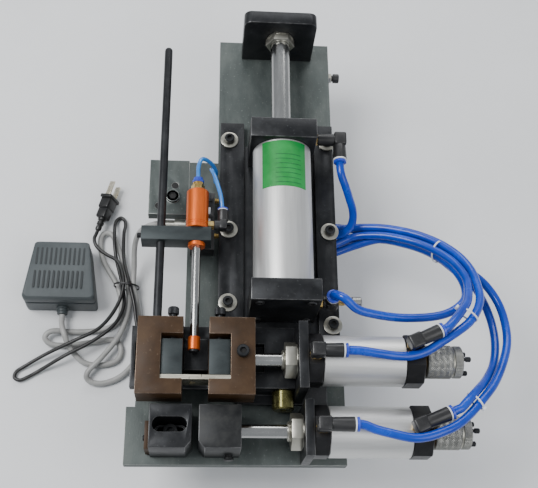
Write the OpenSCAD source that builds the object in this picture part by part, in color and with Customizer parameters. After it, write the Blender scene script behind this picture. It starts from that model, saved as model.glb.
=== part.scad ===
/* [Main plate] */
// Height of the main plate's upper face above the bench
plate_top = 96; // [90:1:110]
// Thickness of the main plate
plate_t = 12; // [8:1:14]
// Length of the main plate, front to rear
plate_l = 455; // [440:1:470]

/* [Main cylinder] */
// Height of the piston rod's axis above the main plate
main_axis_h = 37; // [37:0.5:40]
// Width and height of the square end blocks
block_w = 64; // [62:1:66]
// Length of the barrel between the end blocks
barrel_l = 145; // [140:1:150]
// Outside radius of the barrel
barrel_r = 28.5; // [28:0.5:30]
// Radius of the piston rod
main_rod_r = 10; // [8:0.5:11]

/* [Blade and clamp cylinders] */
// Outside radius of both small barrels
small_r = 22.5; // [21:0.5:23]
// Radius of both small piston rods
small_rod_r = 6; // [5:0.5:7]
// Height of the blade cylinder's axis above the main plate
blade_axis_h = 44; // [43:0.5:46]
// Height of the clamp cylinder's axis above the main plate
clamp_axis_h = 29; // [27:0.5:31]

/* [Blade head] */
// Height of the two blade blocks
blade_block_h = 30; // [26:1:34]
// Height of the clamping jaws
jaw_h = 48; // [44:1:50]

/* [Wire stop] */
// Radius of the stop cylinder
stop_r = 10.5; // [9:0.5:11]
// Radius of the guide rod
guide_r = 4; // [3:0.5:5]

/* [Hoses and cables] */
// Radius of the large air hoses
hose_r = 4; // [3:0.5:4.5]
// Radius of the thin air hoses
thin_hose_r = 2; // [1.5:0.25:2.5]
// Radius of the foot switch cable
cable_r = 2.9; // [2.5:0.1:3.2]
// Radius of the power cord
cord_r = 1.9; // [1.5:0.1:2.2]

/* [Hidden] */
$fn = 48;
eps = 0.01;
rear_y = 228;
front_y = rear_y - plate_l;
top = plate_top;
under = top - plate_t;
axis_z = top + main_axis_h;
blade_z = top + blade_axis_h;
clamp_z = top + clamp_axis_h;
blade_y = -142;
clamp_y = -202.5;
gap_x = -79.5;
wall_t = 3;
box_x0 = -88;
box_x1 = 58;
box_y0 = -172;
box_y1 = 212;
rear_x0 = -59;
step_y = 75;
socket_clear = 0.05;
gland_y = 18;
gland_z = 73;
grommet_y = -125;
grommet_z = 22;
inlet_x = -30;
inlet_z = 40;
floor_t = 8;
flange_x = 41.8;
gib_top = top + 10;
gib_in = 36;
gib_rear = 120;
gib_front = -112;
gib_bolt_spots = [[-51, 99.5], [-51, -1], [-51, -77], [49, 99.5], [49, -1], [49, -98]];
slide_top = top + 5;
block_l = 21;
rear_block_y = 72;
front_block_y = rear_block_y - barrel_l - block_l;
tail_y = 206.4;
tail_t = 14.3;
beam_under = top + 19.2;
beam_top = top + 29;
beam_y0 = -164;
beam_y1 = -107;
beam_x0 = -138;
beam_x1 = 10.2;
bb_z = beam_top + 0.2;
bb_top = bb_z + blade_block_h;
bb_y0 = -177;
bb_y1 = -107.5;
notch_y0 = -163.4;
notch_y1 = -123;
pin_y = -136;
gear_m = 1;
gear_n = 16;
gear_pr = gear_m * gear_n / 2;
gear_z0 = beam_under + 1.6;
gear_h = 6;
press_ang = 20;
backlash = 0.3;
stop_z = blade_z;
guide_x = -115;
stop_x = -81.5;
port_y = -84.2;
brk_y0 = -31;
brk_y1 = -17;
knob_r = 15;
pedal_y0 = -52;
pedal_y1 = 16;
pedal_hinge = [8, 17];
pedal_front = [-259, -184];
pedal_rear = [-252, -195];

// Routes of the hoses, from the slot in the right wall round the loop to each elbow
main_rear_route = [[54, 7.5, 75], [62, 8.5, 78], [70, 10.5, 85], [74.5, 16, 93], [74, 24, 103],
  [69, 33, 114], [64, 41, 124], [59.5, 49, 131], [58, 57, 133], [58, 64, 133]];
main_front_route = [[54, -9, 66], [78, 0, 68.5], [105, 5.5, 76], [125, -1.5, 85], [142, -11, 94],
  [156.5, -23, 103], [167, -37.5, 112], [172.5, -53, 121], [173, -69, 130], [167.5, -83, 138],
  [153, -94.5, 141], [133.5, -100, 142], [105.5, -101.5, 143], [80.5, -100.5, 149], [64, -98, 155],
  [53, -91, 161.5], [46.5, -86.5, 159], [44, -84, 153], [44, -84, 147]];
blade_front_route = [[54, 16, 72], [78, 18, 76], [104, 15, 84.5], [125.5, 8, 93.5],
  [144, -1.5, 102], [160, -14, 111], [173, -29.5, 120], [180.5, -47, 129], [182, -64.5, 138],
  [181, -81, 146], [175.5, -95, 153], [165, -109.5, 160], [151, -121, 165], [135, -131.5, 167.5],
  [120.5, -140.5, 168], [106, -145, 169], [93, -145.5, 170.5], [80, -144.5, 172.5],
  [64, -142.5, 173.5], [56, -142, 173.5], [49, -142, 173.5]];
blade_rear_route = [[54, -3, 72], [78, 8, 75], [102, 6.5, 84.5], [121.5, 0, 93.5], [139, -9, 102],
  [153.5, -20.5, 111], [165, -34, 120], [171.5, -49, 129], [173, -64.5, 138], [167, -86.5, 153],
  [157.5, -100.5, 163], [147, -113, 171], [140, -120, 173.5], [134.5, -122.5, 173.5]];
clamp_front_route = [[54, 24, 64], [78, 20.5, 67], [107.5, 14.5, 76], [128.5, 6.5, 85],
  [147, -3.5, 94], [163, -17, 103], [175, -33, 112], [185.5, -44, 114], [199, -57.5, 114],
  [209, -75.5, 114], [212, -97, 118], [209.5, -118.5, 124], [200.5, -140, 132], [188, -160.5, 141],
  [174.5, -176, 148], [159, -191.5, 153], [145.5, -202, 157], [132, -208.5, 159.5],
  [118, -213, 160.5], [105, -214, 160.5], [90, -211, 160], [75, -207, 159], [65, -203, 158.5],
  [58, -202.5, 158.5]];
clamp_rear_route = [[54, 4, 56], [78, 11, 59], [109, 9, 67.5], [130, 1, 76.5], [147.5, -9.5, 86],
  [162, -23, 95], [173, -38.5, 104], [183.5, -44, 103], [193.5, -53, 97], [200.5, -75.5, 102],
  [203, -98, 108], [200.5, -120, 116], [193.5, -140, 125], [182, -156.5, 136], [169, -169.5, 148],
  [157.5, -180.5, 156], [151, -187, 158], [146, -189.5, 158.5], [140, -192, 158.5]];
stop_rear_route = [[-81.5, 37, 140], [-81.5, 50, 140], [-78, 60, 137], [-70, 62, 126],
  [-64.5, 60, 113], [-64.5, 59, 102]];
stop_side_route = [[-58, 6, 140], [-60, 20, 141], [-66, 42, 138], [-69, 52, 130],
  [-66, 54, 117], [-64.5, 53, 102]];

// Route of the foot switch cable over the bench, from the gland to the switch
pedal_cable_route = [[-111, 18, 73], [-126, 18, 73], [-140, 16, 59], [-147, 10, 36],
  [-148, -8, 18], [-148, -26, 12], [-143, -50, 8], [-138, -80, 4], [-142, -104, 3.3],
  [-156, -122, 3.3], [-174, -130, 3.3], [-188, -128, 4], [-190, -120, 8], [-176, -104, 10],
  [-160, -80, 9], [-153, -52, 6], [-154, -26, 5], [-161, 2, 3.3], [-170, 26, 3.3], [-176, 36, 4],
  [-184, 36, 4], [-187, 26, 3.3], [-182, 4, 3.3], [-166, -24, 3.3], [-160, -48, 3.3],
  [-165, -66, 3.3], [-184, -74, 3.3], [-210, -76, 4], [-225, -76.5, 8.5], [-232.5, -78.5, 9],
  [-236, -83.5, 8], [-232.5, -88.5, 6], [-225, -90.5, 4], [-208, -90, 3.3], [-184, -86, 3.3], [-166, -84, 3.3], [-158, -94, 3.3],
  [-162, -106, 3.3], [-178, -111, 3.3], [-196, -108, 3.3], [-210, -94, 8], [-216, -81, 13.5],
  [-219.5, -70, 12], [-220, -62, 11], [-220, -52, 11]];
// Route of the power cord over the bench, from the grommet to the plug
power_cord_route = [[-90.5, -125, 22], [-98, -125, 20], [-106, -124, 12], [-122, -116, 4],
  [-134, -98, 8], [-142, -72, 14], [-146, -48, 15], [-152, -26, 16], [-160, 4, 9], [-162, 34, 7],
  [-161, 46, 4], [-162.2, 53, 2.5], [-166.5, 56.5, 2.5], [-171, 53, 3], [-172.3, 46, 6],
  [-172, 37, 9.5], [-171, 22, 11], [-168, 4, 10], [-160, -26, 11], [-157, -50, 13], [-166, -72, 16], [-188, -90, 15],
  [-214, -104, 12], [-240, -118, 3], [-251, -124.5, 2.5], [-258, -127.5, 2.5], [-263.5, -125, 2.5],
  [-262.5, -119, 2.5], [-255, -113.5, 3], [-232, -101, 9], [-206, -90, 17], [-180, -76, 19], [-164, -52, 17],
  [-158, -26, 18], [-165, -2, 16], [-178, 8, 13], [-186, 14, 12], [-191, 20, 12],
  [-192.8, 26.5, 12.2], [-191.2, 32.2, 12.2], [-189.6, 37.5, 12.2]];

// ---- helpers ----
module box(lo, hi) {
  translate(lo) cube(hi - lo);
}

module along_x(x0, x1, y, z, r) {
  translate([x0, y, z]) rotate([0, 90, 0]) cylinder(h = x1 - x0, r = r);
}

module along_y(y0, y1, x, z, r) {
  translate([x, y0, z]) rotate([-90, 0, 0]) cylinder(h = y1 - y0, r = r);
}

module upright(z0, z1, x, y, r) {
  translate([x, y, z0]) cylinder(h = z1 - z0, r = r);
}

module hex_x(x0, x1, y, z, flats) {
  translate([x0, y, z]) rotate([0, 90, 0]) cylinder(h = x1 - x0, r = flats / sqrt(3), $fn = 6);
}

// Socket head screw standing on z0: head radius r, head height h, hexagon socket in its top
module socket_head(x, y, z0, r, h) {
  difference() {
    upright(z0, z0 + h, x, y, r);
    translate([x, y, z0 + h * 0.5]) cylinder(h = h, r = r * 0.55, $fn = 6);
  }
}

function unit(v) = v / norm(v);

// One point of a smooth curve through p1 and p2
function curve_point(p0, p1, p2, p3, t) =
  0.5 * (2 * p1 + t * (p2 - p0) + t * t * (2 * p0 - 5 * p1 + 4 * p2 - p3)
  + t * t * t * (3 * p1 - p0 - 3 * p2 + p3));

function smooth(p, n) = concat(
  [for (i = [0 : len(p) - 2], k = [0 : n - 1])
    curve_point(p[max(i - 1, 0)], p[i], p[i + 1], p[min(i + 2, len(p) - 1)], k / n)],
  [p[len(p) - 1]]);

function tangents(p) = [for (i = [0 : len(p) - 1])
  unit(p[min(i + 1, len(p) - 1)] - p[max(i - 1, 0)])];

// Side vectors carried along the curve without twist
function sides(t, i, s) = i >= len(t) ? [] :
  let (u = unit(s - (s * t[i]) * t[i])) concat([u], sides(t, i + 1, u));

module tube(route, r, n, count = 8) {
  p = smooth(route, n);
  t = tangents(p);
  s = sides(t, 0, unit(cross(t[0], [0.31, 0.17, 0.93])));
  m = len(p);
  points = [for (i = [0 : m - 1], k = [0 : count - 1])
    p[i] + r * (cos(360 * k / count) * s[i] + sin(360 * k / count) * cross(t[i], s[i]))];
  walls = [for (i = [0 : m - 2], k = [0 : count - 1], half = [0, 1])
    let (a = i * count + k, b = i * count + (k + 1) % count)
    half == 0 ? [a, a + count, b] : [b, a + count, b + count]];
  cap_a = [[for (k = [0 : count - 1]) k]];
  cap_b = [[for (k = [count - 1 : -1 : 0]) (m - 1) * count + k]];
  polyhedron(points = points, faces = concat(walls, cap_a, cap_b));
}

// ---- base ----
module bottom_plate() {
  color("dimgray") {
    box([box_x0, box_y0, 0], [box_x1, step_y, floor_t]);
    box([rear_x0, step_y - eps, 0], [box_x1, box_y1, floor_t]);
  }
}

module side_wall_left() {
  color("dimgray") difference() {
    union() {
      box([box_x0, box_y0, floor_t], [box_x0 + wall_t, step_y, under]);
      box([box_x0, step_y - wall_t, floor_t], [rear_x0, step_y, under]);
      box([rear_x0 - eps, step_y - wall_t, floor_t], [rear_x0 + wall_t, box_y1, under]);
    }
    along_x(box_x0 - 1, box_x0 + wall_t + 1, gland_y, gland_z, 6);
    along_x(box_x0 - 1, box_x0 + wall_t + 1, grommet_y, grommet_z, 4);
  }
}

module side_wall_right() {
  color("dimgray") difference() {
    box([box_x1 - wall_t, box_y0, floor_t], [box_x1, box_y1, under]);
    box([box_x1 - wall_t - 1, -30, 50], [box_x1 + 1, 40, 82.5]);
  }
}

module end_walls() {
  inner_x1 = box_x1 - wall_t;
  color("dimgray") {
    box([box_x0 + wall_t, box_y0, floor_t], [inner_x1, box_y0 + wall_t, under]);
    difference() {
      box([rear_x0 + wall_t, box_y1 - wall_t, floor_t], [inner_x1, box_y1, under]);
      along_y(box_y1 - wall_t - 1, box_y1 + 1, inlet_x, inlet_z, 7);
    }
  }
}

module main_plate() {
  outline = [[-62, rear_y], [-62, 78], [-91, 78], [-91, -112], [-134, -157], [-134, -175],
    [-142, -175], [-142, front_y], [59, front_y], [59, -112], [56, -112], [56, rear_y]];
  color("slategray") difference() {
    translate([0, 0, under]) linear_extrude(height = plate_t) polygon(outline);
    for (spot = gib_bolt_spots) upright(top - 10, top + 1, spot[0], spot[1], 2.5);
    upright(top - 10, top + 1, -100.5, clamp_y + 2, 3.4);
  }
}

module side_tab() {
  color("slategray") difference() {
    box([-131, 19, under], [-91, 80, top]);
    upright(under - 1, top + 1, -105, 51, 3.5);
    upright(under - 1, top + 1, -121, 28, 3.5);
  }
  color("black") socket_head(-107, 38, top, 6.5, 4);
}

module tail_plate() {
  color("black") difference() {
    translate([-1, tail_y + tail_t, top]) rotate([90, 0, 0]) linear_extrude(height = tail_t)
      union() {
        translate([-37.5, 0]) square([75, 58]);
        translate([-29.5, 0]) square([59, 66]);
        for (x = [-29.5, 29.5]) translate([x, 58]) circle(r = 8);
      }
    along_y(tail_y - 1, tail_y + tail_t + 1, 0, axis_z, 6.05);
  }
}

module gib(side, outer) {
  lo = side > 0 ? gib_in : -outer;
  hi = side > 0 ? outer : -gib_in;
  color("black") difference() {
    box([lo, gib_front, top], [hi, gib_rear, gib_top]);
    box([side > 0 ? gib_in - 1 : -flange_x - 0.2, gib_front - 1, top - 1],
        [side > 0 ? flange_x + 0.2 : -gib_in + 1, gib_rear + 1, slide_top + 0.1]);
    for (spot = gib_bolt_spots) upright(top - 1, gib_top + 1, spot[0], spot[1], 3.3);
  }
}

module gib_left() { gib(-1, 60); }
module gib_right() { gib(1, 55.5); }

module gib_washers() {
  color("silver") for (spot = gib_bolt_spots) difference() {
    upright(gib_top, gib_top + 1.6, spot[0], spot[1], 9);
    upright(gib_top - 1, gib_top + 3, spot[0], spot[1], 3.3);
  }
}

module gib_bolts() {
  color("black") for (spot = gib_bolt_spots) {
    upright(top - 9, gib_top + 1.6, spot[0], spot[1], 2.5);
    socket_head(spot[0], spot[1], gib_top + 1.6, 5, 5.5);
  }
}

module main_rod() {
  piston_y = rear_block_y - 16;
  color("silver") {
    along_y(piston_y, tail_y, 0, axis_z, main_rod_r - 0.04);
    along_y(tail_y - eps, tail_y + 10, 0, axis_z, 6);
    along_y(piston_y, piston_y + 12, 0, axis_z, barrel_r - 3.05);
  }
}

module rod_nut() {
  color("silver") difference() {
    union() {
      translate([0, tail_y, axis_z]) rotate([90, 0, 0]) cylinder(h = 8, r = 15, $fn = 6);
      along_y(tail_y - 1.5, tail_y, 0, axis_z, 14);
    }
    along_y(tail_y - 10, tail_y + 1, 0, axis_z, main_rod_r + 0.02);
  }
}

module valve_manifold() {
  color("silver") difference() {
    box([-30, -60, floor_t], [30, 60, floor_t + 18]);
    along_y(-61, 61, 0, floor_t + 9, 4);
  }
}

module solenoid_valves() {
  color("black") for (y = [-38, 0, 38]) {
    box([-28, y - 9, floor_t + 18], [28, y + 9, floor_t + 46]);
    box([-50, y - 9, floor_t + 22], [-28, y + 9, floor_t + 44]);
  }
}

module stop_valve() {
  color("black") difference() {
    box([-88, -25, top], [-65, 36, top + 16]);
    box([-72, 0, top + 13], [-69, 20, top + 17]);
  }
  color("goldenrod") for (y = [10, 28]) upright(top + 16, top + 18, -69, y, 2.5);
}

module air_inlet() {
  color("black") difference() {
    union() {
      along_y(box_y1 - wall_t - 6, box_y1, inlet_x, inlet_z, 6.95);
      along_y(box_y1, box_y1 + 10, inlet_x, inlet_z, 8);
    }
    along_y(box_y1 - 12, box_y1 + 11, inlet_x, inlet_z, hose_r + socket_clear);
  }
}

module cable_gland() {
  color("gray") difference() {
    union() {
      along_x(box_x0, box_x0 + wall_t + 6, gland_y, gland_z, 5.9);
      hex_x(box_x0 - 6, box_x0, gland_y, gland_z, 17);
      along_x(box_x0 - 17, box_x0 - 6, gland_y, gland_z, 7);
      along_x(box_x0 - 26, box_x0 - 17, gland_y, gland_z, 5);
    }
    along_x(box_x0 - 27, box_x0 + 20, gland_y, gland_z, cable_r + socket_clear);
  }
}

module cord_grommet() {
  color("black") difference() {
    union() {
      along_x(box_x0 - 2.5, box_x0, grommet_y, grommet_z, 6);
      along_x(box_x0, box_x0 + wall_t + 2, grommet_y, grommet_z, 3.9);
    }
    along_x(box_x0 - 4, box_x0 + 8, grommet_y, grommet_z, cord_r + socket_clear);
  }
}

// ---- fixed clamp ----
module fixed_jaw() {
  slot_x = 8.5;
  color("black") difference() {
    translate([0, 0, top]) linear_extrude(height = jaw_h)
      polygon([[-118, -183], [-81.6, -183], [-81.6, -214.5], [-87, -220.5], [-118, -220.5]]);
    for (layer = [[6.5, top + 12, jaw_h], [4.5, top - 1, 20]])
      translate([-100.5, clamp_y + 2, layer[1]]) linear_extrude(height = layer[2]) union() {
        translate([-slot_x, -layer[0]]) square([2 * slot_x, 2 * layer[0]]);
        for (s = [-1, 1]) translate([s * slot_x, 0]) circle(r = layer[0]);
      }
  }
}

module jaw_bolt() {
  color("dimgray") {
    upright(top - 9, top + 12, -100.5, clamp_y + 2, 3.3);
    socket_head(-100.5, clamp_y + 2, top + 12, 6.2, 8);
  }
}

module cylinder_bracket(x0, x1, y0, y1, z0, z1, y, z) {
  difference() {
    box([x0, y0, z0], [x1, y1, z1]);
    along_x(x0 - 1, x1 + 1, y, z, 9.05);
  }
}

module clamp_bracket() {
  color("dimgray")
    cylinder_bracket(16, 24, front_y, -178, top, clamp_z + 22, clamp_y, clamp_z);
}

module small_nut(x0, x1, y, z) {
  difference() {
    union() {
      translate([0, y, z]) rotate([30, 0, 0]) hex_x(x0, x1, 0, 0, 29);
      along_x(x1, x1 + 1, y, z, 14.5);
    }
    along_x(x0 - 1, x1 + 2, y, z, 9);
  }
}

// Caps of a small cylinder: eight sided, a threaded nose through the bracket and a boss for the port
module small_caps(x0, nose, front_l, barrel_x, rear_l, y, z, port) {
  difference() {
    union() {
      for (seg = [[x0, front_l], [barrel_x, rear_l]])
        translate([seg[0], y, z]) rotate([0, 90, 0]) rotate([0, 0, 22.5])
          cylinder(h = seg[1], r = 24, $fn = 8);
      along_x(x0 - nose, x0, y, z, 9);
      along_x(barrel_x + rear_l, barrel_x + rear_l + 3, y, z, 9);
      upright(z + 14, z + 22.2, barrel_x + 6.5, y + port, 7);
    }
    along_x(x0 - nose - 1, barrel_x + rear_l + 4, y, z, small_rod_r + 0.04);
  }
}

module small_barrel(x0, x1, y, z) {
  difference() {
    along_x(x0, x1, y, z, small_r);
    along_x(x0 - 1, x1 + 1, y, z, small_r - 2.5);
  }
}

module clamp_nut() {
  color("silver") small_nut(5, 15, clamp_y, clamp_z);
}

module clamp_barrel() {
  color("gainsboro") small_barrel(38, 110.5, clamp_y, clamp_z);
}

module clamp_caps() {
  color("black") small_caps(24, 22, 14, 110.5, 18, clamp_y, clamp_z, 0);
}

// Push-in elbow: foot at p, leg towards dir in the horizontal plane
module elbow(p, turn, leg = 24) {
  translate(p) rotate([0, 0, turn]) difference() {
    union() {
      cylinder(h = 4, r = 6.5, $fn = 6);
      translate([0, 0, 4]) cylinder(h = 11, r = 6.5);
      translate([0, 0, 11]) rotate([0, 90, 0]) cylinder(h = leg, r = 6.5);
      translate([leg, 0, 11]) rotate([0, 90, 0]) cylinder(h = 4, r = 6);
    }
    translate([leg - 3, 0, 11]) rotate([0, 90, 0]) cylinder(h = 8, r = hose_r + 0.5);
  }
}

module clamp_elbows() {
  color("black") {
    elbow([31, clamp_y, clamp_z + 22.3], 0, 26);
    elbow([114, clamp_y, clamp_z + 22.3], 22, 27);
  }
}

// ---- carriage ----
module slide_plate() {
  color("dimgray") {
    box([-flange_x, -173, top + 0.1], [flange_x, 95, slide_top]);
    box([-33, beam_y0, slide_top], [beam_x1, beam_y1, beam_under]);
  }
}

module end_block(y) {
  box([-block_w / 2, y, slide_top], [block_w / 2, y + block_l, axis_z + block_w / 2]);
}

module rear_block() {
  color("black") difference() {
    end_block(rear_block_y);
    along_y(rear_block_y - 1, rear_block_y + block_l + 1, 0, axis_z, main_rod_r + 0.02);
  }
}

module front_block() {
  color("black") end_block(front_block_y);
}

module main_barrel() {
  color("gainsboro") difference() {
    along_y(front_block_y + block_l, rear_block_y, 0, axis_z, barrel_r);
    along_y(front_block_y, rear_block_y + 1, 0, axis_z, barrel_r - 3);
  }
}

module head_beam() {
  pocket = 13;
  color("black") {
    difference() {
      box([beam_x0, beam_y0, beam_under], [beam_x1, beam_y1, beam_top]);
      box([beam_x0 + 4, pin_y - pocket, gear_z0 - 0.4], [-18, pin_y + pocket, beam_top + 1]);
      box([-91, beam_y0 - 1, gear_z0 + 2], [-68, pin_y - pocket + 1, beam_top + 1]);
    }
    upright(gear_z0 - 0.5, gear_z0 + gear_h + 1, gap_x, pin_y, 2);
    box([-90.4, pin_y - pocket, beam_top], [-68.6, pin_y + pocket + 3, beam_top + 3]);
  }
}

module blade_bracket() {
  color("dimgray")
    cylinder_bracket(beam_x1, 18.5, -172, -112, slide_top, blade_z + 22, blade_y, blade_z);
}

module blade_nut() {
  color("silver") small_nut(beam_x1 - 11, beam_x1 - 1, blade_y, blade_z);
}

module blade_barrel() {
  color("gainsboro") small_barrel(32.5, 105, blade_y, blade_z);
}

module blade_caps() {
  color("black") small_caps(18.5, 22, 14, 105, 17, blade_y, blade_z, 9);
}

// Elbows of the blade cylinder, then the ports in the right faces of the end blocks
module carriage_elbows() {
  side_x = block_w / 2;
  color("black") {
    elbow([25.5, blade_y, blade_z + 22.3], 0, 22);
    elbow([111, blade_y + 9, blade_z + 22.3], 24, 24);
    along_x(side_x, side_x + 5, 88, axis_z, 5);
    difference() {
      union() {
        along_x(side_x + 5, side_x + 33, 88, axis_z, 7);
        along_y(66, 88, side_x + 26, axis_z, 7);
        along_y(62, 66, side_x + 26, axis_z, 6);
      }
      along_y(61, 68, side_x + 26, axis_z, hose_r + 0.5);
    }
    difference() {
      union() {
        along_x(side_x, side_x + 18, port_y, axis_z, 6.5);
        upright(axis_z, axis_z + 17, side_x + 12, port_y, 6.5);
      }
      upright(axis_z + 13, axis_z + 18, side_x + 12, port_y, hose_r + 0.5);
    }
    along_x(side_x + 18, side_x + 31, port_y, axis_z, 3);
    along_x(side_x + 31, side_x + 40, port_y, axis_z, 5.5);
  }
}

// ---- blades ----
function involute(a) = [cos(a) + a * PI / 180 * sin(a), sin(a) - a * PI / 180 * cos(a)];
function roll(r, base) = sqrt(pow(r / base, 2) - 1) * 180 / PI;
function turned(p, a) = [p[0] * cos(a) - p[1] * sin(a), p[0] * sin(a) + p[1] * cos(a)];

module gear_outline() {
  base = gear_pr * cos(press_ang);
  tip = gear_pr + 0.9 * gear_m;
  root = gear_pr - 1.2 * gear_m;
  half = 90 / gear_n - backlash / gear_pr * 45 / PI + tan(press_ang) * 180 / PI - press_ang;
  steps = [0 : 4];
  flank = [for (k = steps) base * involute(roll(base + (tip - base) * k / 4, base))];
  union() {
    circle(r = root);
    for (n = [0 : gear_n - 1]) rotate(90 + 360 * n / gear_n)
      polygon(concat([turned([root - 0.5, 0], -half)], [for (p = flank) turned(p, -half)],
        [for (k = [4 : -1 : 0]) turned([flank[k][0], -flank[k][1]], half)],
        [turned([root - 0.5, 0], half)]));
  }
}

module pinion() {
  color("silver") translate([gap_x, pin_y, gear_z0]) difference() {
    linear_extrude(height = gear_h) gear_outline();
    translate([0, 0, -1]) cylinder(h = gear_h + 2, r = 2.05);
  }
}

// Rack whose teeth face the pinion, on a foot under its own block; side is +1 behind, -1 in front
module rack(side, x0, x1, foot_x0, foot_x1) {
  pitch = PI * gear_m;
  slope = tan(press_ang);
  half = pitch / 4 - backlash / 4;
  first = ceil((x0 + 3 - gap_x) / pitch - 0.5);
  last = floor((x1 - 3 - gap_x) / pitch - 0.5);
  translate([0, pin_y, gear_z0]) mirror([0, side > 0 ? 0 : 1, 0]) {
    translate([x0, gear_pr + 1.1, 0]) cube([x1 - x0, 3.4, gear_h + 1]);
    translate([foot_x0, gear_pr + 1.1, gear_h]) cube([foot_x1 - foot_x0, 3.4, bb_z - gear_z0 - gear_h]);
    translate([gap_x, gear_pr, 0]) linear_extrude(height = gear_h) for (n = [first : last])
      polygon([
        [(n + 0.5) * pitch - half - 1.2 * slope, 1.2],
        [(n + 0.5) * pitch + half + 1.2 * slope, 1.2],
        [(n + 0.5) * pitch + half - 0.9 * slope, -0.9],
        [(n + 0.5) * pitch - half + 0.9 * slope, -0.9]]);
  }
}

// C-shaped blade block: x0 outer face, x1 face towards the gap, notch from the gap side
module blade_block(x0, x1, notch_x) {
  lo = min(x0, x1);
  hi = max(x0, x1);
  mouth = x1 > x0 ? x1 + 1 : x1 - 1;
  screw_x = (notch_x + x1) / 2;
  difference() {
    box([lo, bb_y0, bb_z], [hi, bb_y1, bb_top]);
    box([min(notch_x, mouth), notch_y0, bb_z + 5],
        [max(notch_x, mouth), notch_y1, bb_top + 1]);
    along_y(notch_y1 - 1, bb_y1 + 1, screw_x, blade_z, 3.05);
  }
}

module pressure_block(x0, x1) {
  difference() {
    box([x0, notch_y0 + 4.2, bb_z + 5], [x1, notch_y1 - 4, bb_top - 3]);
    along_y(notch_y1 - 9, notch_y1, (x0 + x1) / 2, blade_z, 3.05);
  }
}

// Thumb screw that presses a pressure block forward
module press_screw(x) {
  along_y(notch_y1 - 8.5, bb_y1 + 6, x, blade_z, 3);
  difference() {
    along_y(bb_y1 + 6, bb_y1 + 13, x, blade_z, 5);
    translate([x, bb_y1 + 9, blade_z]) rotate([-90, 0, 0]) cylinder(h = 5, r = 2.9, $fn = 6);
  }
}

module left_blade_block() {
  color("saddlebrown") difference() {
    blade_block(-131, -91, -110);
    along_y(bb_y1 - 12, bb_y1 + 1, guide_x, stop_z, guide_r);
  }
  color("dimgray") {
    rack(1, -119, -62, -119, -95);
    pressure_block(-110, -91);
    press_screw(-100.5);
  }
}

module right_rack() {
  color("dimgray") rack(-1, -97, -33, -64, -33);
}

module right_blade_block() {
  color("saddlebrown") difference() {
    blade_block(-27.5, -68, -49);
    upright(bb_top - 6, bb_top + 1, -38.5, -139, 3);
  }
  color("dimgray") {
    pressure_block(-68, -49);
    press_screw(-58.5);
    upright(bb_top - 6, bb_top, -38.5, -139, 3);
    socket_head(-38.5, -139, bb_top, 5.5, 5);
  }
}

// Blade with a V notch at its tip; the wire passes at height blade_z
module blade(y0, x0, x1, tip_side) {
  tip = tip_side > 0 ? x1 : x0;
  translate([0, y0 + 1.95, 0]) rotate([90, 0, 0]) linear_extrude(height = 1.95) difference() {
    translate([x0, bb_z + 5]) square([x1 - x0, blade_block_h - 8]);
    polygon([[tip - tip_side * 6, blade_z], [tip + tip_side, blade_z - 7],
      [tip + tip_side, blade_z + 7]]);
  }
}

// Each blade lies on a shorter backing strip in the other blade's layer
module left_blade() {
  color("gainsboro") {
    blade(notch_y0 + 2.1, -110, -74.5, 1);
    box([-110, notch_y0 + 0.05, bb_z + 5], [-85, notch_y0 + 2.1, bb_top - 3]);
  }
}

module right_blade() {
  color("gainsboro") {
    blade(notch_y0 + 0.05, -84.5, -49, -1);
    box([-74, notch_y0 + 2, bb_z + 5], [-49, notch_y0 + 4.05, bb_top - 3]);
  }
}

module small_rod(x0, x1, piston_x, y, z) {
  along_x(x0, x1, y, z, small_rod_r);
  along_x(piston_x, piston_x + 10, y, z, small_r - 2.55);
}

module blade_rod() {
  color("silver") small_rod(-27.5, 150, 36, blade_y, blade_z);
}

module knob(x0, y, z) {
  color("silver") difference() {
    union() {
      along_x(x0, x0 + 24, y, z, knob_r);
      along_x(x0 + 24, x0 + 25, y, z, knob_r - 1.2);
      along_x(x0 + 25, x0 + 33, y, z, knob_r - 0.5);
    }
    along_x(x0 - 1, x0 + 40, y, z, small_rod_r + 0.03);
  }
  color("black") for (a = [90, 210, 330])
    along_x(x0 + 33, x0 + 40, y + 10 * cos(a), z + 10 * sin(a), 2.4);
}

module blade_knob() { knob(125.2, blade_y, blade_z); }
module clamp_knob() { knob(131.7, clamp_y, clamp_z); }

// ---- wire stop ----
module guide_rod() {
  color("black") {
    along_y(bb_y1 - 12, 182, guide_x, stop_z, guide_r);
    translate([guide_x, 182, stop_z]) sphere(r = guide_r - 0.05);
  }
}

module stop_bracket() {
  color("dimgray") {
    difference() {
      box([-133, brk_y0, stop_z - 12], [-68, brk_y1, stop_z + 8]);
      along_y(brk_y0 - 1, brk_y1 + 1, guide_x, stop_z, guide_r + 0.05);
      along_y(brk_y0 - 1, brk_y1 + 1, stop_x, stop_z, 6);
      along_x(-134, guide_x - guide_r - 0.1, (brk_y0 + brk_y1) / 2, stop_z, 2.5);
    }
    along_x(-137, guide_x - guide_r - 1, (brk_y0 + brk_y1) / 2, stop_z, 2.5);
  }
}

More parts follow.
